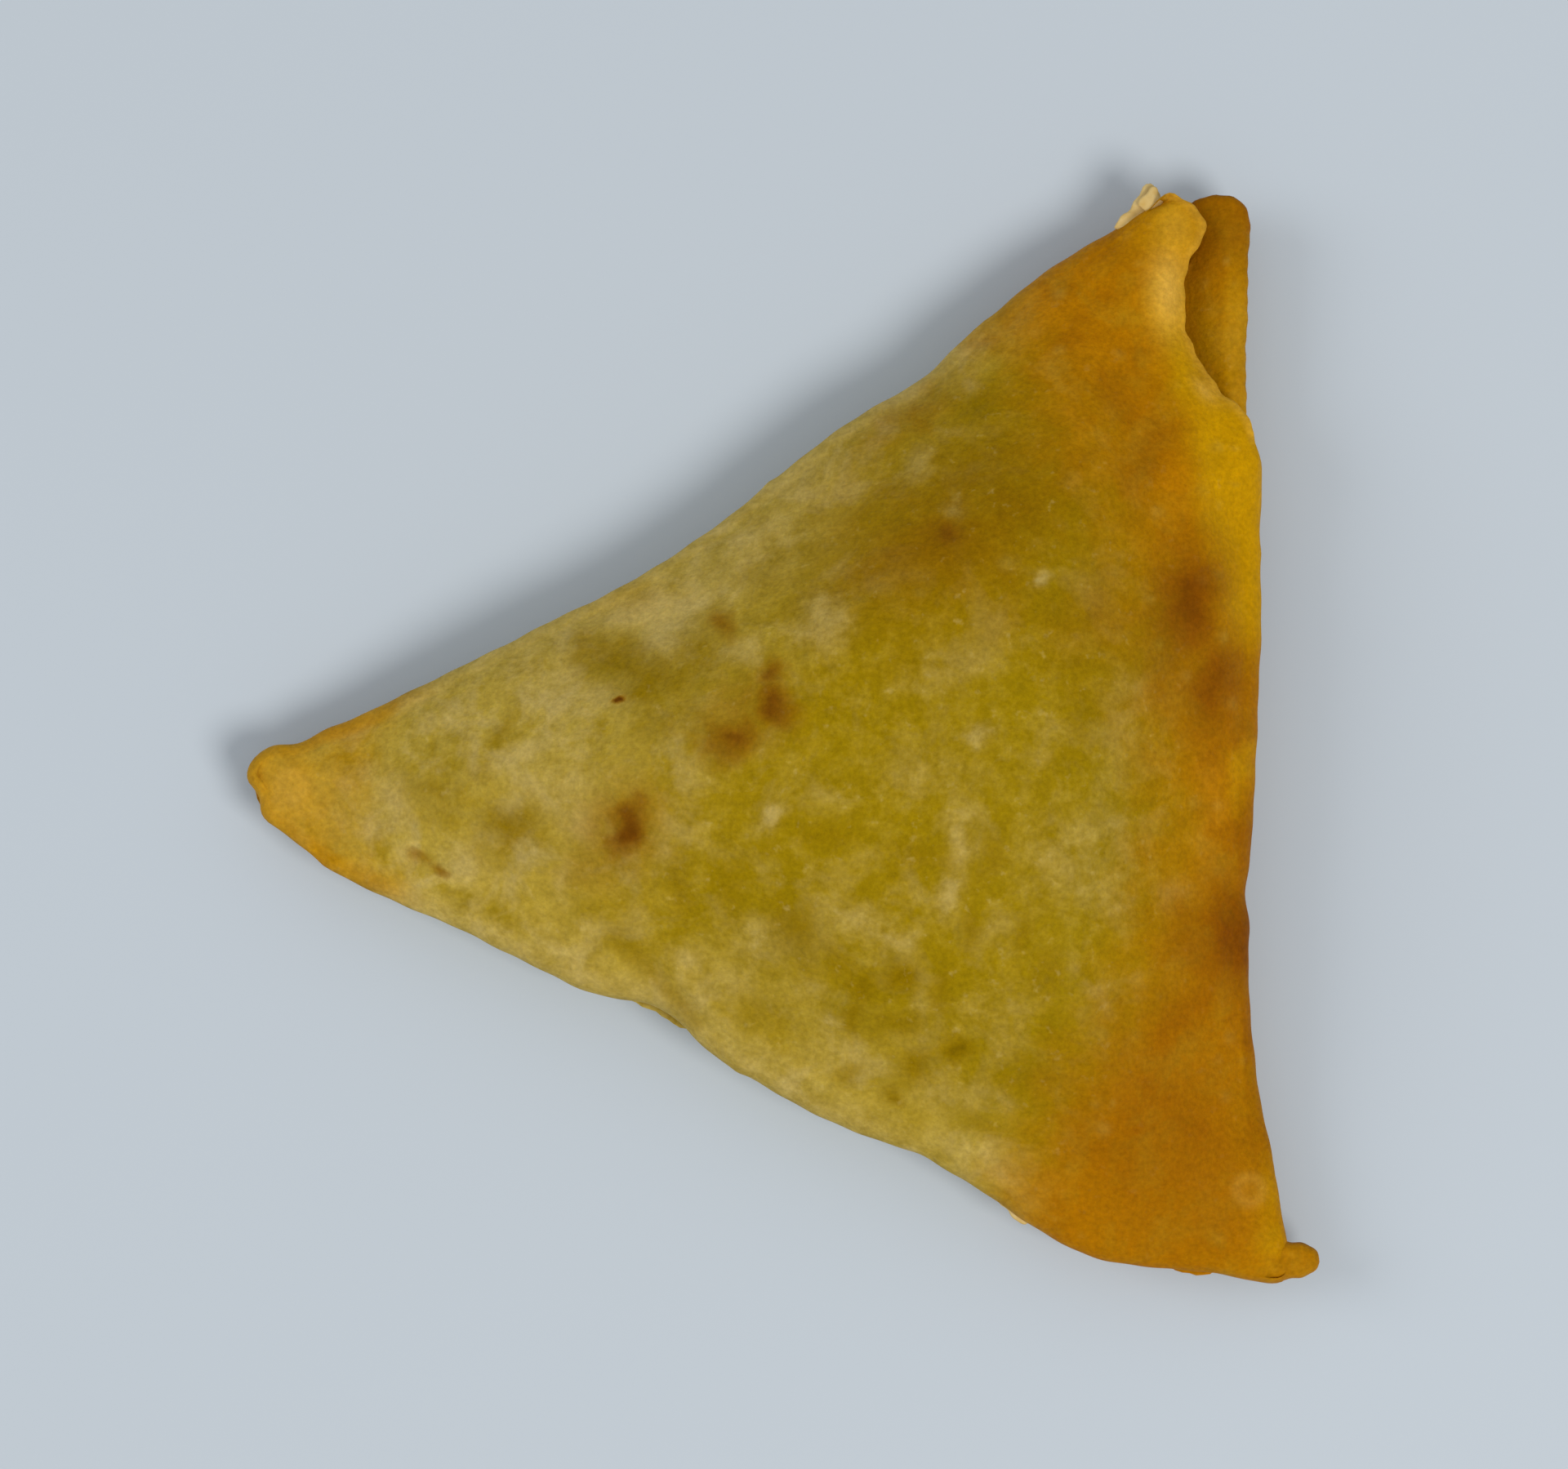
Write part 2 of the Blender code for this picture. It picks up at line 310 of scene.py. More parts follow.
def closed_body(faces, loop, upper, rows, lower):
    """One closed body: an upper lattice, rim rows from top to bottom, and a lower lattice."""
    points = [upper] + list(rows) + [lower]
    rings = [loop]
    start = len(upper)
    for row in rows:
        rings.append(start + np.arange(len(row)))
        start += len(row)
    rings.append(start + loop)
    quads = []
    for above, below in zip(rings, rings[1:]):
        quads.append(np.stack([above, np.roll(above, -1), np.roll(below, -1), below], axis=1))
    triangles = np.concatenate([faces, start + faces[:, ::-1]])
    return np.concatenate(points), triangles, np.concatenate(quads)


def mesh_of(name, points, triangles, quads):
    mesh = bpy.data.meshes.new(name)
    mesh.from_pydata((points * MM).tolist(), [], triangles.tolist() + quads.tolist())
    mesh.shade_smooth()
    made = bpy.data.objects.new(name, mesh)
    bpy.context.scene.collection.objects.link(made)
    return made


def paint(made, **fields):
    """Stores a number for each point of the mesh under each name, for the pastry to read."""
    for name, values in fields.items():
        layer = made.data.attributes.new(name, "FLOAT", "POINT")
        layer.data.foreach_set("value", np.asarray(values, np.float32))


# ---------------------------------------------------------------- heights of the parcel

CROWN_CORNERS = [np.array(corner) for corner in ((-43.5, -3.1), (34.5, 44.0), (37.5, -42.5))]
RIM_TOP, RIM_BOTTOM = 7.7, 2.9  # half way along a side
CLOSED_RIM = (-37.0, -3.2, 5.3, 2.5)  # plan place, then the rim's top and bottom, at each corner
OPEN_RIM = (27.5, 35.0, 6.5, 1.5)
TAIL_RIM = (33.5, -35.5, 5.2, 2.2)
RIM_ROUND, TIGHT_ROUND, LIP_BEND = 3.0, 1.1, 0.5  # how far in the rim's bend reaches: sides, tail corner, lip
CROWN_REACH = 14.0  # the faces fall away over this far from the rim
LIFT_REACH = 9.5  # the underside lifts off the table over this far from the rim
# The dark olive painted along this crease is painted shade.
TUCK = [(-11.2, -13.2), (-9.2, -15.2), (-7.6, -17.0), (-5.9, -18.9)]  # a pinched crease by the lower side
# The pale line painted on this fold is a painted highlight on its ridge.
PALE_FOLD = [(-6.6, -16.4), (-4.6, -19.2), (-0.8, -21.7), (3.8, -25.0), (8.6, -27.4)]  # and the fold below it
PINCH = [(-26.0, -8.0), (-24.9, -8.5), (-23.4, -8.8)]  # a small brown wrinkle near the closed tip
BLISTERS = [  # place in the layout, size along and across, turn in degrees and height in mm
    ((-26.2, -4.0), (1.1, 1.6), 0, 0.16), ((-21.6, -8.3), (1.4, 1.0), 0, 0.22),
    ((-9.6, 8.9), (3.0, 1.1), 15, 0.16), ((-0.7, -5.1), (1.2, 0.5), 42, 0.24),
    ((2.7, 8.2), (1.3, 1.2), 0, 0.2), ((9.3, 18.8), (0.7, 1.1), -20, 0.2),
    ((13.6, 0.4), (0.8, 0.7), 0, 0.18), ((11.3, -10.4), (0.8, 1.4), -25, 0.24),
    ((7.6, -13.6), (1.1, 0.6), 10, 0.16), ((3.6, -19.0), (0.7, 1.0), 0, 0.2),
    ((20.7, -16.6), (0.7, 1.7), 25, 0.18), ((29.3, -2.0), (0.8, 1.2), 20, 0.16),
    ((14.9, -24.3), (0.9, 0.6), 0, 0.2), ((28.6, 23.6), (0.5, 0.9), 40, 0.2),
]
RING_BLISTERS = [(-33.2, -3.0), (31.4, -30.3)]


def rim_heights(x, y):
    top, bottom = np.full(x.shape, RIM_TOP), np.full(x.shape, RIM_BOTTOM)
    for at_x, at_y, corner_top, corner_bottom in (CLOSED_RIM, OPEN_RIM, TAIL_RIM):
        near = smooth(np.hypot(x - at_x, y - at_y), 24, 3)
        top += (corner_top - top) * near
        bottom += (corner_bottom - bottom) * near
    return top, bottom


def rim_round(x, y):
    """How far in from the outline the rim's bend reaches: widest at the crease beside the right side."""
    widest = RIM_ROUND + 1.4 * smooth(y, 6, 16) * smooth(x, 20, 27)
    near_tail = smooth(np.hypot(x - TAIL_CORNER[0], y - TAIL_CORNER[1]), 12, 3)
    near_closed = 0.5 * smooth(np.hypot(x - CLOSED_CORNER[0], y - CLOSED_CORNER[1]), 12, 4)
    near_lip = smooth(distance_to(np.column_stack([x, y]), LIP_LINE), 7, 0.5)
    folded = widest + (TIGHT_ROUND - widest) * np.maximum(near_tail, near_closed)
    return folded + (LIP_BEND - folded) * near_lip


def crown(x, y):
    """About 1 over the heart, and little near the folds: the product of the distances to three lines."""
    a, b, c = CROWN_CORNERS

    def area(p, q, r):
        return (q[0] - p[0]) * (r[1] - p[1]) - (r[0] - p[0]) * (q[1] - p[1])

    here = (x, y)
    shares = area(here, b, c) * area(a, here, c) * area(a, b, here) / area(a, b, c) ** 3
    return np.maximum(27 * shares, 0) ** 0.9


def ridge_in(y):
    """How far inside the right side its crease runs: it comes to the edge half way down."""
    return np.clip(0.35 + 0.18 * (y + 2.3), 0.0, 4.3)


def from_right(x, y):
    return 32.1 - 0.9 * np.sin(np.pi * smooth(y, 20, -37)) - x


def creases(x, y, base):
    """What stands out of the shown face, base mm high, or sinks into it where it is creased or blistered."""
    past = from_right(x, y) - ridge_in(y)
    crest = np.exp(-((past / np.where(past > 0, 2.6, 1.3)) ** 2))
    height = 0.9 * crest * smooth(y, -2, 10) * smooth(y, 33, 25)
    height += 0.5 * hill(x, y, (26.4, 30.8), (1.4, 2.2))
    height -= 0.5 * hill(x, y, (31.6, -11.5), (2.2, 0.8), 15)
    height -= 0.35 * stroke(x, y, [(32.0, -5.9), (29.9, -6.3)], 0.4)
    x, y = laid_out(x, y, base)
    height -= 0.25 * stroke(x, y, TUCK, 0.7)
    height += 0.3 * stroke(x, y, PALE_FOLD, 0.9)
    height -= 0.15 * stroke(x, y, PINCH, 0.45)
    for place, size, turn, rise in BLISTERS:
        height += rise * np.minimum(1.6 * hill(x, y, place, size, turn), 1)
    for place in RING_BLISTERS:
        around = np.hypot(x - place[0], y - place[1])
        height += 0.13 * np.exp(-(((around - 0.95) / 0.45) ** 2))
    return height


def upper_heights(x, y, inside, cut_edge):
    """The shown face at places that are inside mm from the outline; cut_edge is 1 beside the lip."""
    top, bottom = rim_heights(x, y)
    half = (top - bottom) / 2
    reach = rim_round(x, y)
    rise = quarter(inside / reach)
    inner = np.maximum(inside - reach * (1 - math.cos(RIM_ANGLE)), 0)
    folded = (top + bottom) / 2 + half * rise
    cut = top - SHEET / 2 + SHEET / 2 * rise
    edge = folded + (cut - folded) * cut_edge
    fall = 1 - (1 - np.minimum(inner / CROWN_REACH, 1)) ** 2
    base = edge + (TOP - 0.35 - top) * crown(x, y) * fall
    return base + creases(x, y, base) * smooth(inner, 0, 1.2)


def lower_heights(x, y, inside):
    """The underside of the outer sheet, which the end flap covers."""
    bottom = rim_heights(x, y)[1]
    return SHEET + (bottom - SHEET) * np.clip(1 - inside / LIFT_REACH, 0, 1) ** 1.6


def quarter(share):
    """A quarter of an ellipse: steep at 0 and level from 1 on."""
    return np.sqrt(1 - (1 - np.clip(share, 0, 1)) ** 2)


# ---------------------------------------------------------------- the pieces

SIDE_COUNT = 236  # lattice steps along each side of the outer sheet, about 0.3 mm each
RIM_ANGLE = math.radians(50)  # where the rim's bend takes over from the faces
SLOT_DEPTH = 5.0
BED_EDGE = 30.9  # the lower sheet reaches this far right under the inner fold


def lip_closeness(loop):
    """1 along the lip and 0 elsewhere, with a quick change at both of its ends."""
    count = len(loop) // 3
    reach = np.cumsum(np.hypot(*(np.roll(loop, -1, axis=0) - loop).T))
    reach = reach - reach[count]
    lip_long = np.hypot(*np.diff(LIP, axis=0).T).sum()
    return smooth(reach, -1.6, 0.2) * smooth(reach, lip_long, lip_long - 0.7)


def outer_sheet():
    shares, faces, ring = lattice(SIDE_COUNT)
    loop = np.concatenate([evenly(side, SIDE_COUNT) for side in SIDES])
    slot = lip_closeness(loop)
    outward = outward_of(loop)
    stray = ragged(loop, 0.13, (3.1, 5.7, 9.3, 17.0), seed=4) - loop
    torn = ragged(loop, 0.16, (1.7, 2.6, 4.9), seed=8) - loop
    loop = loop + stray + torn * slot[:, None]

    bed = loop.copy()
    bed_x = BED_EDGE - 1.3 * np.clip((loop[:, 1] - 33.0) / 3.6, 0, 1.2) ** 2
    bed[:, 0] += (np.maximum(bed_x, loop[:, 0]) - loop[:, 0]) * slot

    bed_outward = outward_of(bed)
    round_in = rim_round(*loop.T)
    inset = round_in * (1 - math.cos(RIM_ANGLE))
    upper = spread(shares, unfolded(loop - outward * inset[:, None], MIDDLE), MIDDLE)
    lower = spread(shares, unfolded(bed - bed_outward * inset[:, None], MIDDLE), MIDDLE)
    upper, lower = relaxed(upper, faces, ring, 12), relaxed(lower, faces, ring, 12)

    cut_edge = smooth(distance_to(upper, LIP_LINE), 3.0, 0.3)
    cut_edge[ring] = slot
    upper_z = upper_heights(*upper.T, inside_of(upper, loop), cut_edge)
    lower_z = lower_heights(*lower.T, inside_of(lower, bed))

    rows = rim_rows(loop, bed, outward, bed_outward, slot, round_in, lower_z[ring])
    upper = relaxed(np.column_stack([upper, upper_z]), faces, ring, 2)
    lower = relaxed(np.column_stack([lower, lower_z]), faces, ring, 4)
    return mesh_of("outer_sheet", *closed_body(faces, ring, upper, rows, lower))


def rim_rows(loop, bed, outward, bed_outward, slot, round_in, bed_z):
    """The rim from its upper edge to its lower one: a fold's round, or a slot between two sheet edges."""
    top, bottom = rim_heights(*loop.T)
    inwards = HEART - loop
    deep = loop + inwards / np.hypot(*inwards.T)[:, None] * SLOT_DEPTH
    lip_middle = top - SHEET / 2
    bed_middle = bed_z + SHEET / 2 * math.sin(RIM_ANGLE)
    across = round_in[:, None]
    rows = []
    for number in range(1, RIM_ROWS):
        angle = RIM_ANGLE * (1 - 2 * number / RIM_ROWS)
        place = loop - outward * across * (1 - math.cos(angle))
        fold = np.column_stack([place, (top + bottom) / 2 + (top - bottom) / 2 * math.sin(angle)])
        cut = slot_row(number, (loop, outward), (bed, bed_outward), deep, across, lip_middle, bed_middle)
        rows.append(fold + (cut - fold) * slot[:, None])
    return rows


RIM_ROWS = 33
LIP_ROWS, ROOF_ROWS, WALL_ROWS, FLOOR_ROWS = 8, 14, 18, 24  # where each stretch of the slot ends
ROOF_DROP = 1.4  # mm, how far the lip's underside comes down on the inner fold at the back of the slot


def slot_row(number, lip, bed, deep, across, lip_middle, bed_middle):
    """One row of the slot: round the lip, in under it, down the wall, out over the bed, round its edge."""
    half = SHEET / 2
    roof = lip_middle - half - ROOF_DROP
    floor = bed_middle + half
    if number <= LIP_ROWS:
        angle = RIM_ANGLE - (RIM_ANGLE + math.pi / 2) * number / LIP_ROWS
        place = lip[0] - lip[1] * across * (1 - math.cos(angle))
        return np.column_stack([place, lip_middle + half * math.sin(angle)])
    if number <= ROOF_ROWS:
        share = (number - LIP_ROWS) / (ROOF_ROWS - LIP_ROWS)
        start = lip[0] - lip[1] * across
        return np.column_stack([start + (deep - start) * share, lip_middle - half - ROOF_DROP * share**1.6])
    if number <= WALL_ROWS:
        share = (number - ROOF_ROWS) / (WALL_ROWS - ROOF_ROWS)
        return np.column_stack([deep, roof + (floor - roof) * share])
    if number <= FLOOR_ROWS:
        share = (number - WALL_ROWS) / (FLOOR_ROWS - WALL_ROWS)
        end = bed[0] - bed[1] * across
        return np.column_stack([deep + (end - deep) * share, floor])
    share = (number - FLOOR_ROWS) / (RIM_ROWS - FLOOR_ROWS)
    angle = math.pi / 2 - (RIM_ANGLE + math.pi / 2) * share
    place = bed[0] - bed[1] * across * (1 - math.cos(angle))
    return np.column_stack([place, bed_middle + half * math.sin(angle)])


def slab(name, sides, count, high, low, round_in, seed, tear=0.12, rim_count=9):
    """A closed layer between two height functions, with a round rim and an uneven outline."""
    shares, faces, ring = lattice(count)
    loop = np.concatenate([evenly(side, count) for side in sides])
    outward = outward_of(loop)
    loop = ragged(loop, tear, (1.3, 2.9, 6.1), seed)
    heart = loop.mean(axis=0)
    inset = unfolded(loop - outward * round_in, heart)
    places = spread(shares, inset, heart)
    upper_z, lower_z = high(*places.T), low(*places.T)
    top, bottom = upper_z[ring], lower_z[ring]
    rows = []
    for number in range(1, rim_count + 1):
        angle = math.pi * (0.5 - number / (rim_count + 1))
        place = inset + (loop - inset) * math.cos(angle)
        rows.append(np.column_stack([place, (top + bottom) / 2 + (top - bottom) / 2 * math.sin(angle)]))
    upper, lower = np.column_stack([places, upper_z]), np.column_stack([places, lower_z])
    return mesh_of(name, *closed_body(faces, ring, upper, rows, lower))


TONGUE = [(27.6, 36.5), (32.6, 37.5), (32.1, 14.0), (20.0, 15.0)]
TONGUE_ROUNDS, TONGUE_BOWS = (1.7, 2.4, 2.5, 2.5), (0.45, -0.2, 0.0, 0.0)


def inner_fold():
    """The inner layers' folded corner beside the lip: two layers, one on the other."""

    def top(x, y):
        dip = 0.8 * smooth(x, 30.6, 27.2) + 0.45 * smooth(y, 33, 36.8)
        return 5.2 - dip + 0.22 * hill(x, y, (30.8, 28.0), (0.7, 9.0), 1)

    def joint(x, y):
        return 3.75 - 0.3 * smooth(y, 31, 36.5) + 0.0 * x

    def under(x, y):
        return 2.35 + 0.25 * smooth(y, 30, 36.5) + 0.0 * x

    upper = slab("inner_fold", outline(TONGUE, TONGUE_ROUNDS, TONGUE_BOWS), 90, top, joint, 0.75, 11)
    inner = [(x - 0.3, y - 0.45) for x, y in TONGUE]
    sides = outline(inner, TONGUE_ROUNDS, TONGUE_BOWS)
    lower = slab("inner_fold_under", sides, 70, lambda x, y: joint(x, y) - 0.05, under, 0.6, 12)
    return upper, lower


STUB = [(36.6, -34.4), (36.5, -36.6), (31.4, -37.0), (30.4, -33.4)]


def inner_stub():
    """The end of the inner layer that pokes out of the tail corner."""
    return slab(
        "inner_stub",
        outline(STUB, (1.2, 1.2, 1.6, 1.6), (0.25, 0.1, 0, -0.2)),
        44,
        lambda x, y: 4.85 - 0.35 * smooth(x, 34.5, 36.5) + 0.0 * y,
        lambda x, y: 2.6 + 0.15 * smooth(x, 34, 36.5) + 0.0 * y,
        0.8,
        13,
    )


FLAP = [(-38.6, -3.1), (29.6, 35.5), (30.2, -37.6)]


def end_flap():
    """The strip's last turn, pasted over the underside: only its free edge along the right side shows."""
    sides = outline(FLAP, (6.0, 3.0, 3.0), (-2.5, -0.6, 0.4))

    def face(x, y):
        return lower_heights(x, y, inside_of(np.column_stack([x, y]), RIM))

    def under(x, y):
        inside = inside_of(np.column_stack([x, y]), RIM)
        thick = np.maximum(smooth(inside, 0.5, 3.5), smooth(x, 20, 27) * smooth(inside, 0.0, 0.8))
        return face(x, y) - (SHEET - 0.05) * thick

    return slab("end_flap", sides, 150, lambda x, y: face(x, y) + 0.12, under, 0.35, 14, tear=0.2)


def paste_flakes():
    """Dried flour paste squeezed out where the sheets were sealed: thin ragged crumbs on the edge."""
    flakes = []
    for number, (corners, height) in enumerate(
        [
            ([(23.0, 34.9), (25.7, 38.2), (26.9, 35.8)], 4.9),
            ([(24.4, 36.3), (25.9, 37.9), (26.6, 36.0)], 5.4),
            ([(14.9, -31.3), (17.3, -31.8), (16.7, -33.2)], 4.4),
        ]
    ):
        flakes.append(
            slab(
                f"paste_flake_{number + 1}",
                outline(corners, (0.5, 0.5, 0.5), (0.1, 0.1, 0.1)),
                14,
                lambda x, y, z=height: z + 0.16 + 0.12 * np.sin(2.3 * x + 1.7 * y),
                lambda x, y, z=height: z - 0.16 + 0.12 * np.sin(2.3 * x + 1.7 * y),
                0.16,
                20 + number,
                tear=0.3,
                rim_count=3,
            )
        )
    return flakes


# ---------------------------------------------------------------- nodes


def add(tree, kind, links=None, **settings):
    """A node of that kind in the tree: settings are its properties, links its inputs' values or sources."""
    node = tree.nodes.new(kind)
    for name, value in settings.items():
        setattr(node, name, value)
    for name, value in (links or {}).items():
        if isinstance(value, bpy.types.NodeSocket):
            tree.links.new(value, node.inputs[name])
        else:
            node.inputs[name].default_value = value
    return node


def relief_tree():
    """Geometry Nodes: the filling's soft lumps and the blisters of frying, pushed out of the sheet."""
    tree = bpy.data.node_groups.new("fried_relief", "GeometryNodeTree")
    face = tree.interface
    face.new_socket("Geometry", in_out="INPUT", socket_type="NodeSocketGeometry")
    for name in ("Lump Height", "Lump Size", "Blister Height", "Blister Size", "Wrinkle Height", "Seed"):
        face.new_socket(name, in_out="INPUT", socket_type="NodeSocketFloat")
    face.new_socket("Pastry", in_out="INPUT", socket_type="NodeSocketMaterial")
    face.new_socket("Geometry", in_out="OUTPUT", socket_type="NodeSocketGeometry")
    given = add(tree, "NodeGroupInput").outputs
    place = add(tree, "GeometryNodeInputPosition").outputs[0]
    normal = add(tree, "GeometryNodeInputNormal").outputs[0]
    shift = add(tree, "ShaderNodeCombineXYZ", {0: given["Seed"], 1: given["Seed"]}).outputs[0]

    def sized(length):
        """Places in units of length, moved by the seed."""
        unit = add(tree, "ShaderNodeMath", {0: 1.0, 1: length}, operation="DIVIDE").outputs[0]
        scaled = add(tree, "ShaderNodeVectorMath", {0: place, "Scale": unit}, operation="SCALE").outputs[0]
        return add(tree, "ShaderNodeVectorMath", {0: scaled, 1: shift}, operation="ADD").outputs[0]

    def times(*values):
        product = values[0]
        for value in values[1:]:
            product = add(tree, "ShaderNodeMath", {0: product, 1: value}, operation="MULTIPLY").outputs[0]
        return product

    lump = add(tree, "ShaderNodeTexNoise", {"Vector": sized(given["Lump Size"]), "Scale": 1.0, "Detail": 1.5})
    lump = add(tree, "ShaderNodeMath", {0: lump.outputs[0], 1: 0.5}, operation="SUBTRACT").outputs[0]
    lump = times(lump, given["Lump Height"], 2.0)

    blister_place = sized(given["Blister Size"])
    cell = add(tree, "ShaderNodeTexVoronoi", {"Vector": blister_place, "Scale": 1.0, "Randomness": 1.0})
    luck = add(tree, "ShaderNodeSeparateXYZ", {0: cell.outputs["Color"]}).outputs
    crowd = add(tree, "ShaderNodeTexNoise", {"Vector": blister_place, "Scale": 0.22, "Detail": 2.0}).outputs[0]
    reach = add(tree, "ShaderNodeMapRange", {0: luck[0], 3: 0.16, 4: 0.46}).outputs[0]
    near = add(tree, "ShaderNodeMath", {0: cell.outputs["Distance"], 1: reach}, operation="DIVIDE").outputs[0]
    dome = add(tree, "ShaderNodeMapRange", {0: near, 1: 1.0, 2: 0.0}, interpolation_type="SMOOTHERSTEP")
    chance = add(tree, "ShaderNodeMath", {0: luck[1], 1: crowd}, operation="MULTIPLY").outputs[0]
    shown = add(tree, "ShaderNodeMapRange", {0: chance, 1: 0.22, 2: 0.3}).outputs[0]
    blister = times(dome.outputs[0], shown)
    height = add(tree, "ShaderNodeMapRange", {0: luck[2], 3: 0.35, 4: 1.0}).outputs[0]
    raised = times(blister, height, given["Blister Height"])

    wrinkle = add(
        tree,
        "ShaderNodeTexNoise",
        {"Vector": sized(given["Blister Size"]), "Scale": 0.55, "Detail": 3.0, "Distortion": 1.2},
    ).outputs[0]
    wrinkle = add(tree, "ShaderNodeMath", {0: wrinkle, 1: 0.5}, operation="SUBTRACT").outputs[0]
    wrinkle = times(wrinkle, given["Wrinkle Height"], 2.0)

    both = add(tree, "ShaderNodeMath", {0: lump, 1: wrinkle}, operation="ADD").outputs[0]
    eased = add(tree, "GeometryNodeInputNamedAttribute", {"Name": "easing"}, data_type="FLOAT").outputs[0]
    both = times(both, eased)
    whole = add(tree, "ShaderNodeMath", {0: both, 1: raised}, operation="ADD").outputs[0]
    push = add(tree, "ShaderNodeVectorMath", {0: normal, "Scale": whole}, operation="SCALE").outputs[0]
    moved = add(tree, "GeometryNodeSetPosition", {"Geometry": given["Geometry"], "Offset": push}).outputs[0]
    stored = add(
        tree,
        "GeometryNodeStoreNamedAttribute",
        {"Geometry": moved, "Name": "blister", "Value": blister},
        data_type="FLOAT",
        domain="POINT",
    ).outputs[0]
    real = add(tree, "GeometryNodeRealizeInstances", {0: stored}).outputs[0]
    dressed = add(tree, "GeometryNodeSetMaterial", {"Geometry": real, "Material": given["Pastry"]}).outputs[0]
    add(tree, "NodeGroupOutput", {0: dressed})
    return tree


def fried(made, tree, pastry, lump=0.0, lump_size=13.0, blister=0.1, blister_size=1.7, wrinkle=0.05, seed=1.0):
    """made with the relief of frying as plain mesh, heights and sizes in mm."""
    modifier = made.modifiers.new("fried_relief", "NODES")
    modifier.node_group = tree
    values = {
        "Lump Height": lump * MM,
        "Lump Size": lump_size * MM,
        "Blister Height": blister * MM,
        "Blister Size": blister_size * MM,
        "Wrinkle Height": wrinkle * MM,
        "Seed": seed,
        "Pastry": pastry,
    }
    for item in tree.interface.items_tree:
        if item.in_out == "INPUT" and item.name in values:
            modifier[item.identifier] = values[item.name]
    bpy.context.view_layer.update()
    graph = bpy.context.evaluated_depsgraph_get()
    mesh = bpy.data.meshes.new_from_object(made.evaluated_get(graph), depsgraph=graph)
    made.modifiers.remove(modifier)
    made.data = mesh
    mesh.shade_smooth()
    return made


# ---------------------------------------------------------------- browning, painted highlight and painted shade, drawn point by point

# Soft spots on the shown face: place in the layout, size along and across in mm, turn in degrees, strength
TOASTED_AND_SHADE = [
    ((-10.6, -5.9), (1.15, 2.2), -25, 1.05), ((-10.8, -6.1), (3.2, 4.2), -20, 0.36),
    ((-13.0, -8.6), (2.6, 1.7), 0, 0.28), ((-0.8, 4.4), (1.3, 1.0), 40, 0.8),
    ((-0.5, 2.3), (1.3, 1.6), 20, 0.95), ((-3.4, 0.3), (2.2, 1.5), 20, 0.9),
    ((-4.1, -0.8), (1.5, 1.2), 0, 0.5), ((-1.9, 2.0), (3.2, 3.0), 30, 0.36),
    ((-3.9, 7.9), (1.0, 0.7), -40, 0.6), ((-11.4, 2.8), (0.3, 0.22), 20, 1.5),
    ((-24.6, -7.9), (0.9, 0.45), -25, 0.5), ((-23.4, -8.7), (0.7, 0.45), -20, 0.55),
    ((11.1, 14.1), (1.7, 1.0), 0, 0.85), ((9.6, 14.6), (1.0, 0.8), 0, 0.45),
    ((10.8, 12.6), (3.4, 2.2), 0, 0.28), ((9.5, 21.8), (1.3, 0.9), 0, 0.3),
    ((27.6, 9.5), (2.7, 4.6), -12, 0.92), ((26.2, 5.6), (2.2, 3.6), 0, 0.5),
    ((29.4, 4.1), (2.6, 4.4), -15, 0.82), ((30.9, 1.3), (1.2, 2.0), 0, 0.5),
    ((24.8, 19.0), (1.8, 4.4), -22, 0.38), ((22.8, 23.4), (2.4, 1.8), -50, 0.34),
    ((31.0, -13.2), (2.9, 5.2), 0, 0.88), ((30.2, -15.6), (1.8, 2.0), 0, 0.5),
    ((28.7, -13.6), (3.6, 4.0), 0, 0.5), ((30.5, -5.5), (0.8, 0.4), 0, 0.5),
    ((27.0, -18.5), (3.4, 3.6), 0, 0.42), ((28.5, -25.0), (2.6, 5.2), 0, 0.32),
    # The broad spot over the tail corner, second on the next line, is painted shade that darkens the side the lamp
    # lights most.
    ((18.3, -22.8), (2.4, 1.4), -10, 0.28), ((25.5, -27.0), (8.5, 10.0), 15, 0.44),
    ((20.5, -26.5), (1.6, 2.4), 20, 0.4), ((28.7, 6.6), (2.0, 2.6), -15, 0.45),
    ((9.0, 22.6), (5.0, 1.6), 35, 0.3),
]
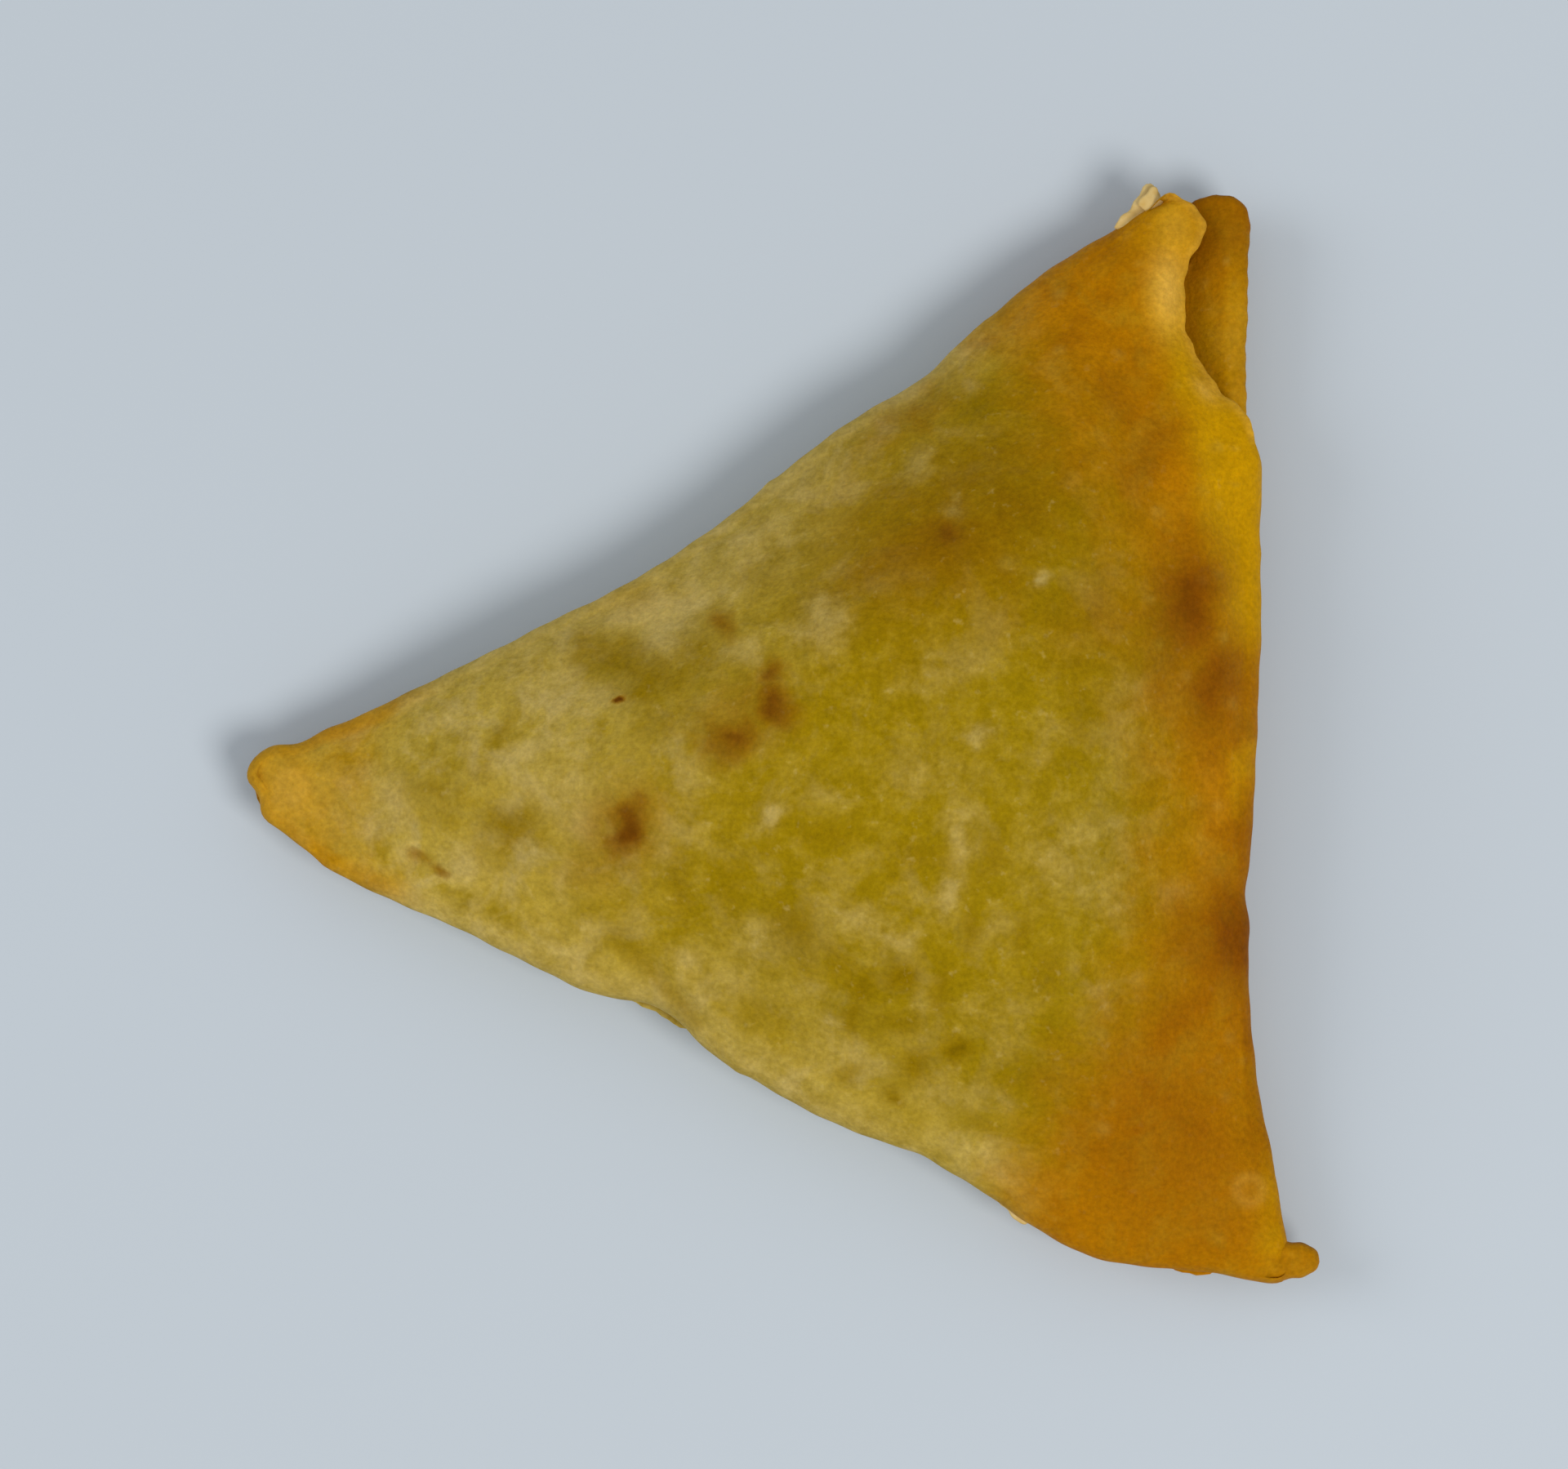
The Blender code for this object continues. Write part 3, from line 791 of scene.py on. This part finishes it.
HERBS_AND_SHADE = [
    ((-11.2, 5.6), (3.0, 1.7), -12, 0.85), ((-8.8, 4.4), (3.4, 1.8), 0, 0.85),
    ((-10.0, 3.6), (1.7, 1.6), 0, 0.8), ((-6.2, 1.6), (1.5, 1.9), 0, 0.6),
    ((-8.3, 1.2), (1.6, 1.3), 0, 0.6), ((-5.6, 5.8), (1.8, 2.4), 0, 0.6),
    ((-13.4, 6.3), (1.3, 1.3), 0, 0.72), ((-19.0, 0.6), (0.8, 1.5), -25, 0.66),
    ((-23.8, -3.4), (1.9, 1.3), 0, 0.6), ((-18.4, -5.7), (2.5, 2.0), 0, 0.86),
    ((-19.0, -7.9), (2.4, 1.2), -15, 0.36), ((-20.6, -2.2), (1.5, 1.0), 0, 0.36),
    ((-6.8, -9.4), (0.9, 2.2), 0, 0.66), ((-3.6, -9.8), (1.4, 3.0), 0, 0.4),
    ((-0.9, -7.6), (1.6, 0.8), 0, 0.3), ((-1.2, -18.2), (2.2, 1.4), 0, 0.35),
    ((3.4, -6.5), (2.1, 1.2), 0, 0.6), ((9.3, -7.7), (2.4, 1.1), -10, 0.6),
    ((7.4, -9.0), (0.7, 1.1), 0, 0.4), ((0.8, -12.6), (1.5, 2.8), 20, 0.65),
    ((3.6, -14.8), (2.4, 1.1), -35, 0.45), ((5.4, -16.6), (1.6, 1.5), 0, 0.7),
    ((7.9, -16.0), (1.4, 1.2), 0, 0.75), ((4.8, -18.7), (0.8, 1.4), 0, 0.7),
    ((10.9, -16.6), (1.0, 1.8), 0, 0.55), ((13.0, -12.6), (0.8, 1.6), -15, 0.5),
    ((16.2, -13.0), (0.7, 1.4), 0, 0.5), ((17.9, -15.9), (1.3, 1.6), 0, 0.5),
    ((14.0, -7.9), (1.1, 2.2), -15, 0.55), ((7.6, -19.2), (2.2, 1.1), 10, 0.55),
    ((9.2, -21.9), (1.8, 1.2), 10, 0.65), ((11.7, -20.9), (1.0, 1.0), 0, 0.85),
    ((4.5, -22.4), (1.3, 1.0), 0, 0.45), ((7.3, -24.0), (0.7, 1.0), 0, 0.7),
    ((13.5, -26.0), (1.6, 1.0), -30, 0.35), ((18.3, -19.6), (1.0, 1.6), 0, 0.4),
    ((16.5, -22.8), (2.6, 1.6), -10, 0.5), ((20.8, 1.9), (1.5, 1.4), 0, 0.6),
    ((19.4, -1.2), (2.2, 1.2), 0, 0.35), ((13.6, 23.0), (3.2, 1.5), 10, 0.85),
    ((9.6, 21.8), (1.5, 1.0), 20, 0.6), ((19.3, 16.2), (2.0, 1.4), -10, 0.8),
    ((18.6, 18.9), (1.8, 1.6), 0, 0.5), ((20.8, 12.6), (1.4, 2.4), 20, 0.55),
    ((15.8, 14.8), (2.6, 1.8), 0, 0.4), ((17.5, 9.8), (3.0, 1.6), -10, 0.4),
    ((12.4, 19.2), (3.0, 2.0), 0, 0.4), ((23.0, 9.0), (1.5, 2.6), 20, 0.35),
    ((14.5, 17.0), (8.0, 6.5), 20, 0.35), ((-1.4, 11.4), (2.0, 1.2), 0, 0.3),
    # The broad spot over the tail corner, first on the next line, is painted shade as well.
    ((25.0, -25.0), (7.0, 8.0), 15, 0.16), ((-23.4, -4.6), (2.2, 1.6), 0, 0.4),
    ((-10.6, -13.8), (1.6, 1.0), -30, 0.4),
]
PALE = [
    ((-9.6, 8.9), (3.2, 1.1), 15, 1.43), ((-6.3, 9.6), (1.0, 1.2), 0, 1.43),
    ((-14.6, 7.2), (1.0, 0.8), 0, 0.98), ((-12.2, 3.2), (2.0, 0.9), -20, 0.73),
    ((-17.4, -0.8), (2.2, 0.6), 25, 0.98), ((-21.0, -1.3), (0.4, 1.0), 0, 0.98),
    ((-26.2, -4.0), (1.1, 1.6), 0, 1.14), ((-21.6, -8.3), (1.5, 1.0), 0, 1.3),
    ((-15.9, -4.0), (2.4, 0.9), -45, 0.98), ((-13.6, -5.4), (1.2, 1.4), 0, 0.81),
    ((-8.0, -7.3), (0.8, 1.3), 0, 0.52), ((-14.9, -9.4), (0.5, 1.6), 0, 0.65),
    ((-3.4, 6.2), (1.4, 0.9), 0, 0.4), ((-15.0, -14.4), (2.2, 1.2), -30, 0.73),
    ((-1.4, -13.8), (1.8, 1.6), 0, 0.6), ((-6.2, -15.0), (1.4, 0.9), -40, 0.72),
    ((-3.4, -16.4), (1.8, 1.1), 0, 0.5), ((2.0, -16.8), (1.6, 0.8), -30, 0.5),
    ((3.6, -19.0), (0.7, 1.0), 0, 0.85), ((2.6, -21.2), (2.2, 1.2), 10, 0.3),
    ((6.4, -22.0), (1.1, 0.7), 0, 0.5), ((11.2, -24.0), (1.9, 1.1), 0, 0.6),
    ((14.9, -24.3), (0.8, 0.6), 0, 0.65), ((11.4, -27.3), (2.2, 1.1), -10, 0.55),
    ((9.4, -18.3), (0.5, 2.6), 8, 0.4), ((14.6, -17.9), (2.8, 1.2), 10, 0.3),
    ((20.7, -16.6), (0.7, 1.9), 25, 0.6), ((5.4, -12.2), (2.6, 1.2), -38, 0.6),
    ((7.6, -13.6), (1.1, 0.6), 10, 0.75), ((11.3, -10.4), (0.8, 1.3), -25, 1.0),
    ((12.0, -6.6), (0.7, 2.0), -12, 0.6), ((19.6, -8.0), (3.0, 3.0), 0, 0.32),
    ((22.6, -6.8), (1.3, 2.6), 10, 0.39), ((2.3, -3.6), (2.5, 1.2), 0, 0.1),
    ((10.4, -2.0), (3.4, 1.6), 0, 0.18), ((2.6, 8.2), (1.4, 1.3), 0, 0.7),
    ((11.0, 4.8), (2.6, 1.4), 20, 0.21), ((13.6, 0.4), (0.8, 0.7), 0, 0.75),
    ((9.3, 18.8), (0.7, 1.1), -20, 0.65), ((11.7, 15.9), (0.7, 0.6), 0, 0.5),
    ((22.9, -11.0), (1.3, 1.5), 0, 0.35), ((26.4, -10.4), (1.5, 0.9), 0, 0.4),
    ((-0.7, -5.1), (1.3, 0.6), 42, 1.0), ((17.6, 11.1), (0.5, 0.6), 0, 1.2),
    ((29.3, -2.0), (0.8, 1.1), 20, 0.5), ((23.4, 3.2), (1.2, 1.8), 0, 0.3),
    ((-7.8, 8.2), (2.6, 1.5), 20, 1.43), ((-14.6, -3.4), (2.6, 1.8), -40, 0.59),
    ((-28.4, -2.2), (1.2, 0.9), 0, 0.6), ((-21.8, -8.6), (1.1, 0.9), 0, 0.6),
]
# Where the olive middle ends on the right: heights up the parcel, and how far right the browning starts
BROWN_BORDER = ((-31, -28, -23, -17, -11, -5, 5, 14, 23, 30), (15.5, 17.5, 21, 24, 25.3, 26, 25, 21, 17, 13))


def spots(x, y, listed):
    """The strongest of the listed soft spots at each place."""
    value = np.zeros(x.shape)
    for place, size, turn, strength in listed:
        value = np.maximum(value, strength * hill(x, y, place, size, turn))
    return value


def points_of(made):
    """The plan places and heights of the mesh's points in mm."""
    places = np.empty(len(made.data.vertices) * 3, np.float32)
    made.data.vertices.foreach_get("co", places)
    return (places.reshape(-1, 3) / MM).T.astype(float)


def baked(made):
    """Paints how far each point of the outer pastry is khaki, browned, gold, pale, toast brown or green with the
    filling, painted highlight and painted shade included.
    """
    x, y, z = points_of(made)
    top, bottom = rim_heights(x, y)
    shown = smooth(z, (top + bottom) / 2 - 0.6, (top + bottom) / 2 + 0.6)
    hidden = 1 - shown
    inside = inside_of(np.column_stack([x, y]), RIM)
    from_closed = np.hypot(x + 38, y + 3)
    dried = np.maximum(hill(x, y, (26.7, 30.3), (1.2, 2.7)), 0.7 * hill(x, y, (29.1, 23.3), (0.5, 1.0), 40))
    dried = np.maximum(dried, 0.22 * hill(x, y, (-33.0, -3.6), (2.6, 2.4)))
    # Painted light: the upper left slope, which faces away from the lamp, is painted lighter here and by the cream
    # band below.
    dried = np.maximum(dried, 0.2 * hill(x, y, (-9.6, 9.1), (3.2, 1.3), 15))
    dried = np.maximum(dried, 0.3 * hill(x, y, (27.2, 34.6), (1.3, 2.0)))
    dried = np.maximum(dried, 0.35 * smooth(distance_to(np.column_stack([x, y]), LIP_LINE), 0.8, 0.2))
    across, up = laid_out(x, y, z)
    for place in RING_BLISTERS:
        around = np.hypot(across - place[0], up - place[1])
        dried = dried + 0.2 * np.exp(-(((around - 0.9) / 0.35) ** 2)) + 0.08 * smooth(around, 1.2, 0.5)
    # Painted shade: dark olive along the pinched crease.
    crease_shade = 0.5 * stroke(across, up, TUCK, 0.8)
    # Painted highlight: a pale line on the raised fold.
    fold_highlight = 0.3 * stroke(across, up, PALE_FOLD, 0.9)
    beside = from_right(x, y)
    # Along the lower right edge: some real scorching, and a thin dark line of painted shade where the edge turns
    # under.
    scorch_and_edge_shade = 0.5 * smooth(beside, 0.5, -0.1) * smooth(y, -1, -6) * smooth(y, -33, -27)
    x, y = wander(x, y, 0.3, 4.0, seed=21)
    x, y = wander(x, y, 0.12, 1.5, seed=22)
    layout = laid_out(x, y, z)
    mirrored = (x, 2 * HEART[1] - y)  # the underside has the same marks the other way up

    browned = smooth(x - np.interp(y, *BROWN_BORDER), -5, 5 + 3 * smooth(y, -5, 10))
    tip_edge = smooth(inside, 1.8, 0.5) * smooth(from_closed, 18, 9)
    browned = np.maximum.reduce([browned, 0.5 * smooth(from_closed, 14, 4), 0.7 * tip_edge])
    # Gold is partly the real colour of frying and partly painted light: a painted highlight on the bevel right of the
    # crease, which faces the lamp, and gold laid along the lip and at the open corner to lighten faces that slope away
    # from the lamp.
    golden = np.maximum.reduce(
        [
            smooth(beside - ridge_in(y), 1.4, -1.6) * smooth(y, 2, 9) * smooth(y, 27, 23),
            stroke(x, y, [(26.8, 30.0), (27.4, 26.6), (29.0, 22.0), (31.1, 19.5)], 1.7),
            0.6 * stroke(x, y, [(32.5, -22.6), (33.6, -29.5), (33.6, -34.5)], 1.3),
            0.5 * stroke(x, y, [(31.2, -1.8), (31.5, -5.2)], 0.8),
            0.75 * hill(x, y, (27.2, 34.4), (2.4, 3.4)),
            0.4 * smooth(from_closed, 13, 5),
            0.35 * stroke(x, y, [(-34.0, -1.0), (-27.0, 1.4)], 1.4),
            0.35 * stroke(x, y, [(-33.0, -7.0), (-26.0, -10.0)], 1.2),
        ]
    )
    khaki = np.maximum(smooth(x * 0.86 - y * 0.5, 3, -12), 0.8 * smooth(inside, 4.5, 1.5))
    khaki = np.maximum(khaki, 0.6 * stroke(x, y, [(-4.0, -17.0), (8.0, -25.0), (13.0, -28.5)], 2.8))
    low_side = smooth(y, -9, -16) * smooth(x, -9, -2)
    pale = np.maximum(spots(*layout, PALE) * (1 - 0.3 * low_side), fold_highlight)
    pale = np.maximum(pale, 0.8 * stroke(x, y, [(3.9, 20.3), (9.4, 23.9), (13.9, 26.9)], 0.8))
    # Painted light: a cream band along the upper left slope, which faces away from the lamp.
    pale = np.maximum(pale, 0.45 * stroke(x, y, [(-17.0, 5.0), (-6.0, 9.6), (0.0, 14.0)], 2.2))
    pale = np.maximum(pale, 0.55 * smooth(inside, 2.2, 0.4) * smooth(x, 12, 4) * smooth(from_closed, 9, 15))
    herb = np.maximum(spots(*layout, HERBS_AND_SHADE) * (1 + 0.3 * low_side), crease_shade)
    oiled = np.maximum(0.85 * hill(x, y, (13.3, 13.3), (9.5, 6.2), 25), 0.55 * hill(x, y, (20.8, 6.8), (3.5, 6.0), 10))
    paint(
        made,
        khaki=khaki,
        oiled=oiled * shown,
        browned=browned,
        golden=golden * shown,
        toasted=np.maximum(spots(*layout, TOASTED_AND_SHADE), scorch_and_edge_shade) * shown + spots(*mirrored, TOASTED_AND_SHADE) * hidden,
        herb=herb * shown + spots(*mirrored, HERBS_AND_SHADE) * hidden,
        pale=pale * shown + (0.3 + 0.4 * spots(*mirrored, PALE)) * hidden,
        dried=dried * shown,
    )
    return made


def baked_inside(made):
    """Paints an inner layer: orange brown, darkest at its folded end, greener towards the filling, with a painted
    highlight along its right rim and painted shade beside the lip.
    """
    x, y, z = points_of(made)
    paint(
        made,
        khaki=np.zeros(x.shape),
        oiled=np.zeros(x.shape),
        browned=0.95 - 0.25 * smooth(y, 32, 26) * smooth(y, 0, 10),
        # Painted highlight: gold along the right rim of the inner fold, on its rounded edge.
        golden=0.3 * smooth(x, 30.2, 31.4) * smooth(y, 34.5, 32) * smooth(y, -20, 0) + 0.08,
        # The brown that deepens towards the left is painted shade, where the inner fold lies in under the lip.
        toasted=0.08 + 0.4 * smooth(y, 29, 34) + 0.25 * smooth(x, 30.2, 28.2),
        herb=0.5 * smooth(y, 31, 25) * smooth(x, 32.4, 29.5),
        # Painted highlight: pale along the same right rim.
        pale=0.3 * smooth(x, 30.6, 31.4),
        dried=np.zeros(x.shape),
    )
    return made


# ---------------------------------------------------------------- materials


def linear(code):
    """An sRGB hex colour as the linear one that a shader takes."""
    parts = [int(code[i : i + 2], 16) / 255 for i in (1, 3, 5)]
    return [p / 12.92 if p <= 0.04045 else ((p + 0.055) / 1.055) ** 2.4 for p in parts] + [1.0]


def empty_material(name):
    material = bpy.data.materials.new(name)
    material.use_nodes = True
    tree = material.node_tree
    tree.nodes.clear()
    return material, tree


OLIVE, KHAKI = "#977b04", "#ae9336"  # over the filling, and over air
# Cream is also laid on the upper left slope as painted light.
STRAW, CREAM = "#b29a40", "#bba25c"  # where it dried a little, and where it dried well
# Gold is also used as painted highlight, and the greens and toast browns as painted shade.
HERB_GREEN, DARK_HERB, UMBER = "#876a00", "#5e4600", "#8a5c00"
ORANGE, GOLD, TOAST, BARK, SCORCH = "#ad7000", "#bf8c00", "#7c4000", "#784806", "#4e2400"
RUSSET, HONEY, OCHRE = "#985a00", "#b08a18", "#967000"
GRAIN = 0.35  # mm, flour grain and frying texture, drawn a little coarse so that it shows


def fried_pastry():
    """Thin wheat pastry, rolled and fried: a nearly matte skin, greenish where the filling shows through,
    cream where it dried in fine blisters, and orange to brown where the layers are thick or touched the pan.
    Some of its gold and cream is painted highlight, and some of its brown and green is painted shade."""
    material, tree = empty_material("fried_wheat_pastry")
    place = add(tree, "ShaderNodeTexCoord").outputs["Object"]

    def field(name):
        return add(tree, "ShaderNodeAttribute", attribute_name=name).outputs["Fac"]

    def clouds(size, detail=4.0, distortion=0.6, roughness=0.6):
        """Clouds of that size in mm, from about 0 to 1."""
        links = {"Vector": place, "Scale": 1 / (size * MM), "Detail": detail, "Roughness": roughness}
        links["Distortion"] = distortion
        cloud = add(tree, "ShaderNodeTexNoise", links).outputs["Fac"]
        return add(tree, "ShaderNodeMapRange", {0: cloud, 1: 0.3, 2: 0.7}, clamp=False).outputs[0]

    def broken(mask, texture, weight, low=0.0, high=1.0):
        """The mask with its border, and only that, broken up by clouds: then 0 below low and 1 above high."""
        rest = add(tree, "ShaderNodeMath", {0: 1.0, 1: mask}, operation="SUBTRACT").outputs[0]
        border = add(tree, "ShaderNodeMath", {0: mask, 1: rest}, operation="MULTIPLY", use_clamp=True).outputs[0]
        sway = add(tree, "ShaderNodeMath", {0: texture, 1: 0.5}, operation="SUBTRACT").outputs[0]
        sway = add(tree, "ShaderNodeMath", {0: sway, 1: 4 * weight}, operation="MULTIPLY").outputs[0]
        both = add(tree, "ShaderNodeMath", {0: sway, 1: border, 2: mask}, operation="MULTIPLY_ADD").outputs[0]
        return add(tree, "ShaderNodeMapRange", {0: both, 1: low, 2: high}).outputs[0]

    def over(share, under, colour):
        colour = linear(colour) if isinstance(colour, str) else colour
        return add(tree, "ShaderNodeMix", {0: share, 6: under, 7: colour}, data_type="RGBA").outputs[2]

    def times(value, share):
        return add(tree, "ShaderNodeMath", {0: value, 1: share}, operation="MULTIPLY").outputs[0]

    broad, cloud = clouds(8.0, 3.0), clouds(3.2, 5.0, 0.4)
    mottle, speck = clouds(1.6, 4.0, 0.3), clouds(0.8, 2.0, 0.0)
    herb, pale, toasted = field("herb"), field("pale"), field("toasted")
    colour = over(broken(field("khaki"), cloud, 0.5), linear(OLIVE), KHAKI)
    colour = over(times(broken(mottle, cloud, 0.3, 0.4, 1.2), 0.26), colour, STRAW)
    thin = add(tree, "ShaderNodeMapRange", {0: field("khaki"), 3: 0.25, 4: 0.8}).outputs[0]
    damp = add(tree, "ShaderNodeMapRange", {0: clouds(2.7, 3.0, 0.3), 1: 0.45, 2: 1.0}).outputs[0]
    dry = add(tree, "ShaderNodeMapRange", {0: clouds(3.9, 4.0, 0.4), 1: 0.5, 2: 0.95}).outputs[0]
    colour = over(times(damp, thin), colour, OLIVE)
    colour = over(times(dry, thin), colour, CREAM)
    colour = over(broken(field("oiled"), broad, 0.4), colour, UMBER)
    colour = over(times(broken(pale, mottle, 0.6), 0.75), colour, CREAM)
    # This green also lays painted shade along the pinched crease and over the tail corner.
    colour = over(broken(herb, mottle, 0.5, 0.05, 0.95), colour, HERB_GREEN)
    colour = over(times(broken(herb, speck, 0.4, 0.85, 1.35), 0.8), colour, DARK_HERB)
    browned = broken(field("browned"), broad, 0.45)
    colour = over(browned, colour, ORANGE)
    colour = over(times(times(damp, browned), 0.5), colour, RUSSET)
    colour = over(times(times(dry, browned), 0.35), colour, HONEY)
    # Gold: the colour of frying, and also a painted highlight on the lit bevel, the lip and the inner fold's right
    # rim.
    colour = over(broken(field("golden"), cloud, 0.4), colour, GOLD)
    # Toast brown also lays painted shade along the lower right edge, over the tail corner and beside the lip.
    toast = over(field("browned"), linear(BARK), TOAST)
    bare = add(tree, "ShaderNodeMapRange", {0: field("browned"), 3: 1.0, 4: 0.25}).outputs[0]
    colour = over(times(times(broken(toasted, mottle, 0.25, 0.0, 0.55), bare), 0.65), colour, OCHRE)
    colour = over(broken(toasted, mottle, 0.25, 0.08, 1.0), colour, toast)
    colour = over(times(broken(toasted, speck, 0.3, 0.75, 1.45), 0.85), colour, SCORCH)
    fleck = add(tree, "ShaderNodeMapRange", {0: speck, 1: 0.85, 2: 1.25, 4: 0.35}).outputs[0]
    clear = add(tree, "ShaderNodeMath", {0: 1.0, 1: toasted}, operation="SUBTRACT", use_clamp=True).outputs[0]
    colour = over(times(times(fleck, bare), clear), colour, CREAM)
    colour = over(times(field("blister"), 0.2), colour, STRAW)
    # This yellow is also painted light on the upper left slope.
    colour = over(times(field("dried"), 0.9), colour, "#dcaa42")
    grain = clouds(GRAIN, 2.0, 0.0)
    uneven = add(tree, "ShaderNodeMath", {0: mottle, 1: 0.2, 2: 0.9}, operation="MULTIPLY_ADD").outputs[0]
    fine = add(tree, "ShaderNodeMath", {0: grain, 1: 0.26, 2: 0.87}, operation="MULTIPLY_ADD").outputs[0]
    shade = add(tree, "ShaderNodeMath", {0: uneven, 1: fine}, operation="MULTIPLY").outputs[0]
    colour = add(tree, "ShaderNodeVectorMath", {0: colour, "Scale": shade}, operation="SCALE").outputs[0]

    rough = add(tree, "ShaderNodeMapRange", {0: cloud, 3: 0.5, 4: 0.66}).outputs[0]
    height = add(tree, "ShaderNodeMath", {0: speck, 1: grain}, operation="ADD").outputs[0]
    bump = add(tree, "ShaderNodeBump", {"Height": height, "Strength": 0.5, "Distance": 0.05 * MM}).outputs[0]
    shader = add(
        tree,
        "ShaderNodeBsdfPrincipled",
        {
            "Base Color": colour,
            "Roughness": rough,
            "IOR": 1.45,
            "Specular IOR Level": 0.06,
            "Specular Tint": (1.0, 0.8, 0.4, 1.0),
            "Subsurface Weight": 0.1,
            "Subsurface Radius": (1.0, 0.55, 0.2),
            "Subsurface Scale": 0.8 * MM,
            "Normal": bump,
        },
    )
    add(tree, "ShaderNodeOutputMaterial", {0: shader.outputs[0]})
    return material


def dried_paste():
    """Flour and water paste that sealed the parcel, fried: a brittle, cream white and matte crumb."""
    material, tree = empty_material("dried_flour_paste")
    place = add(tree, "ShaderNodeTexCoord").outputs["Object"]
    lumps = add(tree, "ShaderNodeTexNoise", {"Vector": place, "Scale": 1 / (0.8 * MM), "Detail": 4.0}).outputs[0]
    links = {0: lumps, 6: linear("#c59a3e"), 7: linear("#e6cf95")}
    colour = add(tree, "ShaderNodeMix", links, data_type="RGBA").outputs[2]
    bump = add(tree, "ShaderNodeBump", {"Height": lumps, "Strength": 0.5, "Distance": 0.1 * MM}).outputs[0]
    links = {"Base Color": colour, "Roughness": 0.75, "Specular IOR Level": 0.2, "Normal": bump}
    shader = add(tree, "ShaderNodeBsdfPrincipled", links)
    add(tree, "ShaderNodeOutputMaterial", {0: shader.outputs[0]})
    return material


def painted_board():
    """A plain matte board under the food: an even, pale, cool grey."""
    material, tree = empty_material("pale_board")
    links = {"Base Color": linear("#c2cad1"), "Roughness": 0.85, "Specular IOR Level": 0.2}
    shader = add(tree, "ShaderNodeBsdfPrincipled", links)
    add(tree, "ShaderNodeOutputMaterial", {0: shader.outputs[0]})
    return material


# ---------------------------------------------------------------- stage


def stage_floor():
    half = 2.0
    mesh = bpy.data.meshes.new("board")
    corners = [(-half, -half, 0), (half, -half, 0), (half, half, 0), (-half, half, 0)]
    mesh.from_pydata(corners, [], [(0, 1, 2, 3)])
    mesh.materials.append(painted_board())
    floor = bpy.data.objects.new("board", mesh)
    bpy.context.scene.collection.objects.link(floor)


def aimed(made, place, target):
    made.location = Vector(place)
    made.rotation_euler = (Vector(target) - Vector(place)).to_track_quat("-Z", "Y").to_euler()
    bpy.context.scene.collection.objects.link(made)


def area_light(name, place, size, watts, colour):
    data = bpy.data.lights.new(name, "AREA")
    data.shape = "DISK"
    data.size = size
    data.energy = watts
    data.color = colour
    aimed(bpy.data.objects.new(name, data), place, (0, 0, 0.008))


def lights():
    area_light("window", (0.35, -0.30, 0.62), 0.34, 3.1, (1.0, 0.985, 0.96))
    area_light("bounce", (-0.75, 0.10, 0.55), 0.6, 2.4, (0.95, 0.98, 1.0))
    world = bpy.data.worlds.new("room")
    bpy.context.scene.world = world
    world.use_nodes = True
    background = world.node_tree.nodes["Background"]
    background.inputs["Color"].default_value = (0.93, 0.96, 1.0, 1.0)
    background.inputs["Strength"].default_value = 0.47


def camera():
    """Nearly straight above, a little towards the near side, as food in a tray is looked down on."""
    data = bpy.data.cameras.new("camera")
    data.lens = 140
    data.sensor_width = 36
    data.clip_start = 0.01
    eye = bpy.data.objects.new("camera", data)
    aimed(eye, EYE, AIM)
    bpy.context.scene.camera = eye


# ---------------------------------------------------------------- making


def main():
    bpy.context.scene.view_settings.view_transform = "Standard"
    pastry, paste = fried_pastry(), dried_paste()
    tree = relief_tree()

    sheet = outer_sheet()
    ease(sheet)
    pieces = [fried(sheet, tree, pastry, lump=0.45, blister=0.12, blister_size=2.2, wrinkle=0.07, seed=3.0)]
    fold, fold_under = inner_fold()
    for number, made in enumerate([fold, fold_under, inner_stub(), end_flap()]):
        paint(made, easing=np.ones(len(made.data.vertices)))
        pieces.append(fried(made, tree, pastry, blister=0.07, blister_size=1.5, wrinkle=0.05, seed=7.0 + number))
    for made in (pieces[0], pieces[4]):
        pressed_flat(made)
        baked(made)
    for made in pieces[1:4]:
        baked_inside(made)
    for made in paste_flakes():
        made.data.materials.append(paste)
        pieces.append(made)

    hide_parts("samosa")
    for made in pieces:
        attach(made, "root")

    stage_floor()
    lights()
    camera()


def pressed_flat(made):
    """Nothing of the underside reaches below the floor, which its own weight presses it flat on."""
    x, y, z = points_of(made)
    places = np.column_stack([x, y, np.maximum(z, 0)]) * MM
    made.data.vertices.foreach_set("co", places.astype(np.float32).ravel())
    made.data.update()


def ease(made):
    """Lumps fade out towards the rim and on the underside, where the sheet is pressed flat."""
    x, y, z = points_of(made)
    top, bottom = rim_heights(x, y)
    paint(made, easing=0.25 + 0.75 * smooth(z, top - 1.0, top + 2.5))


main()
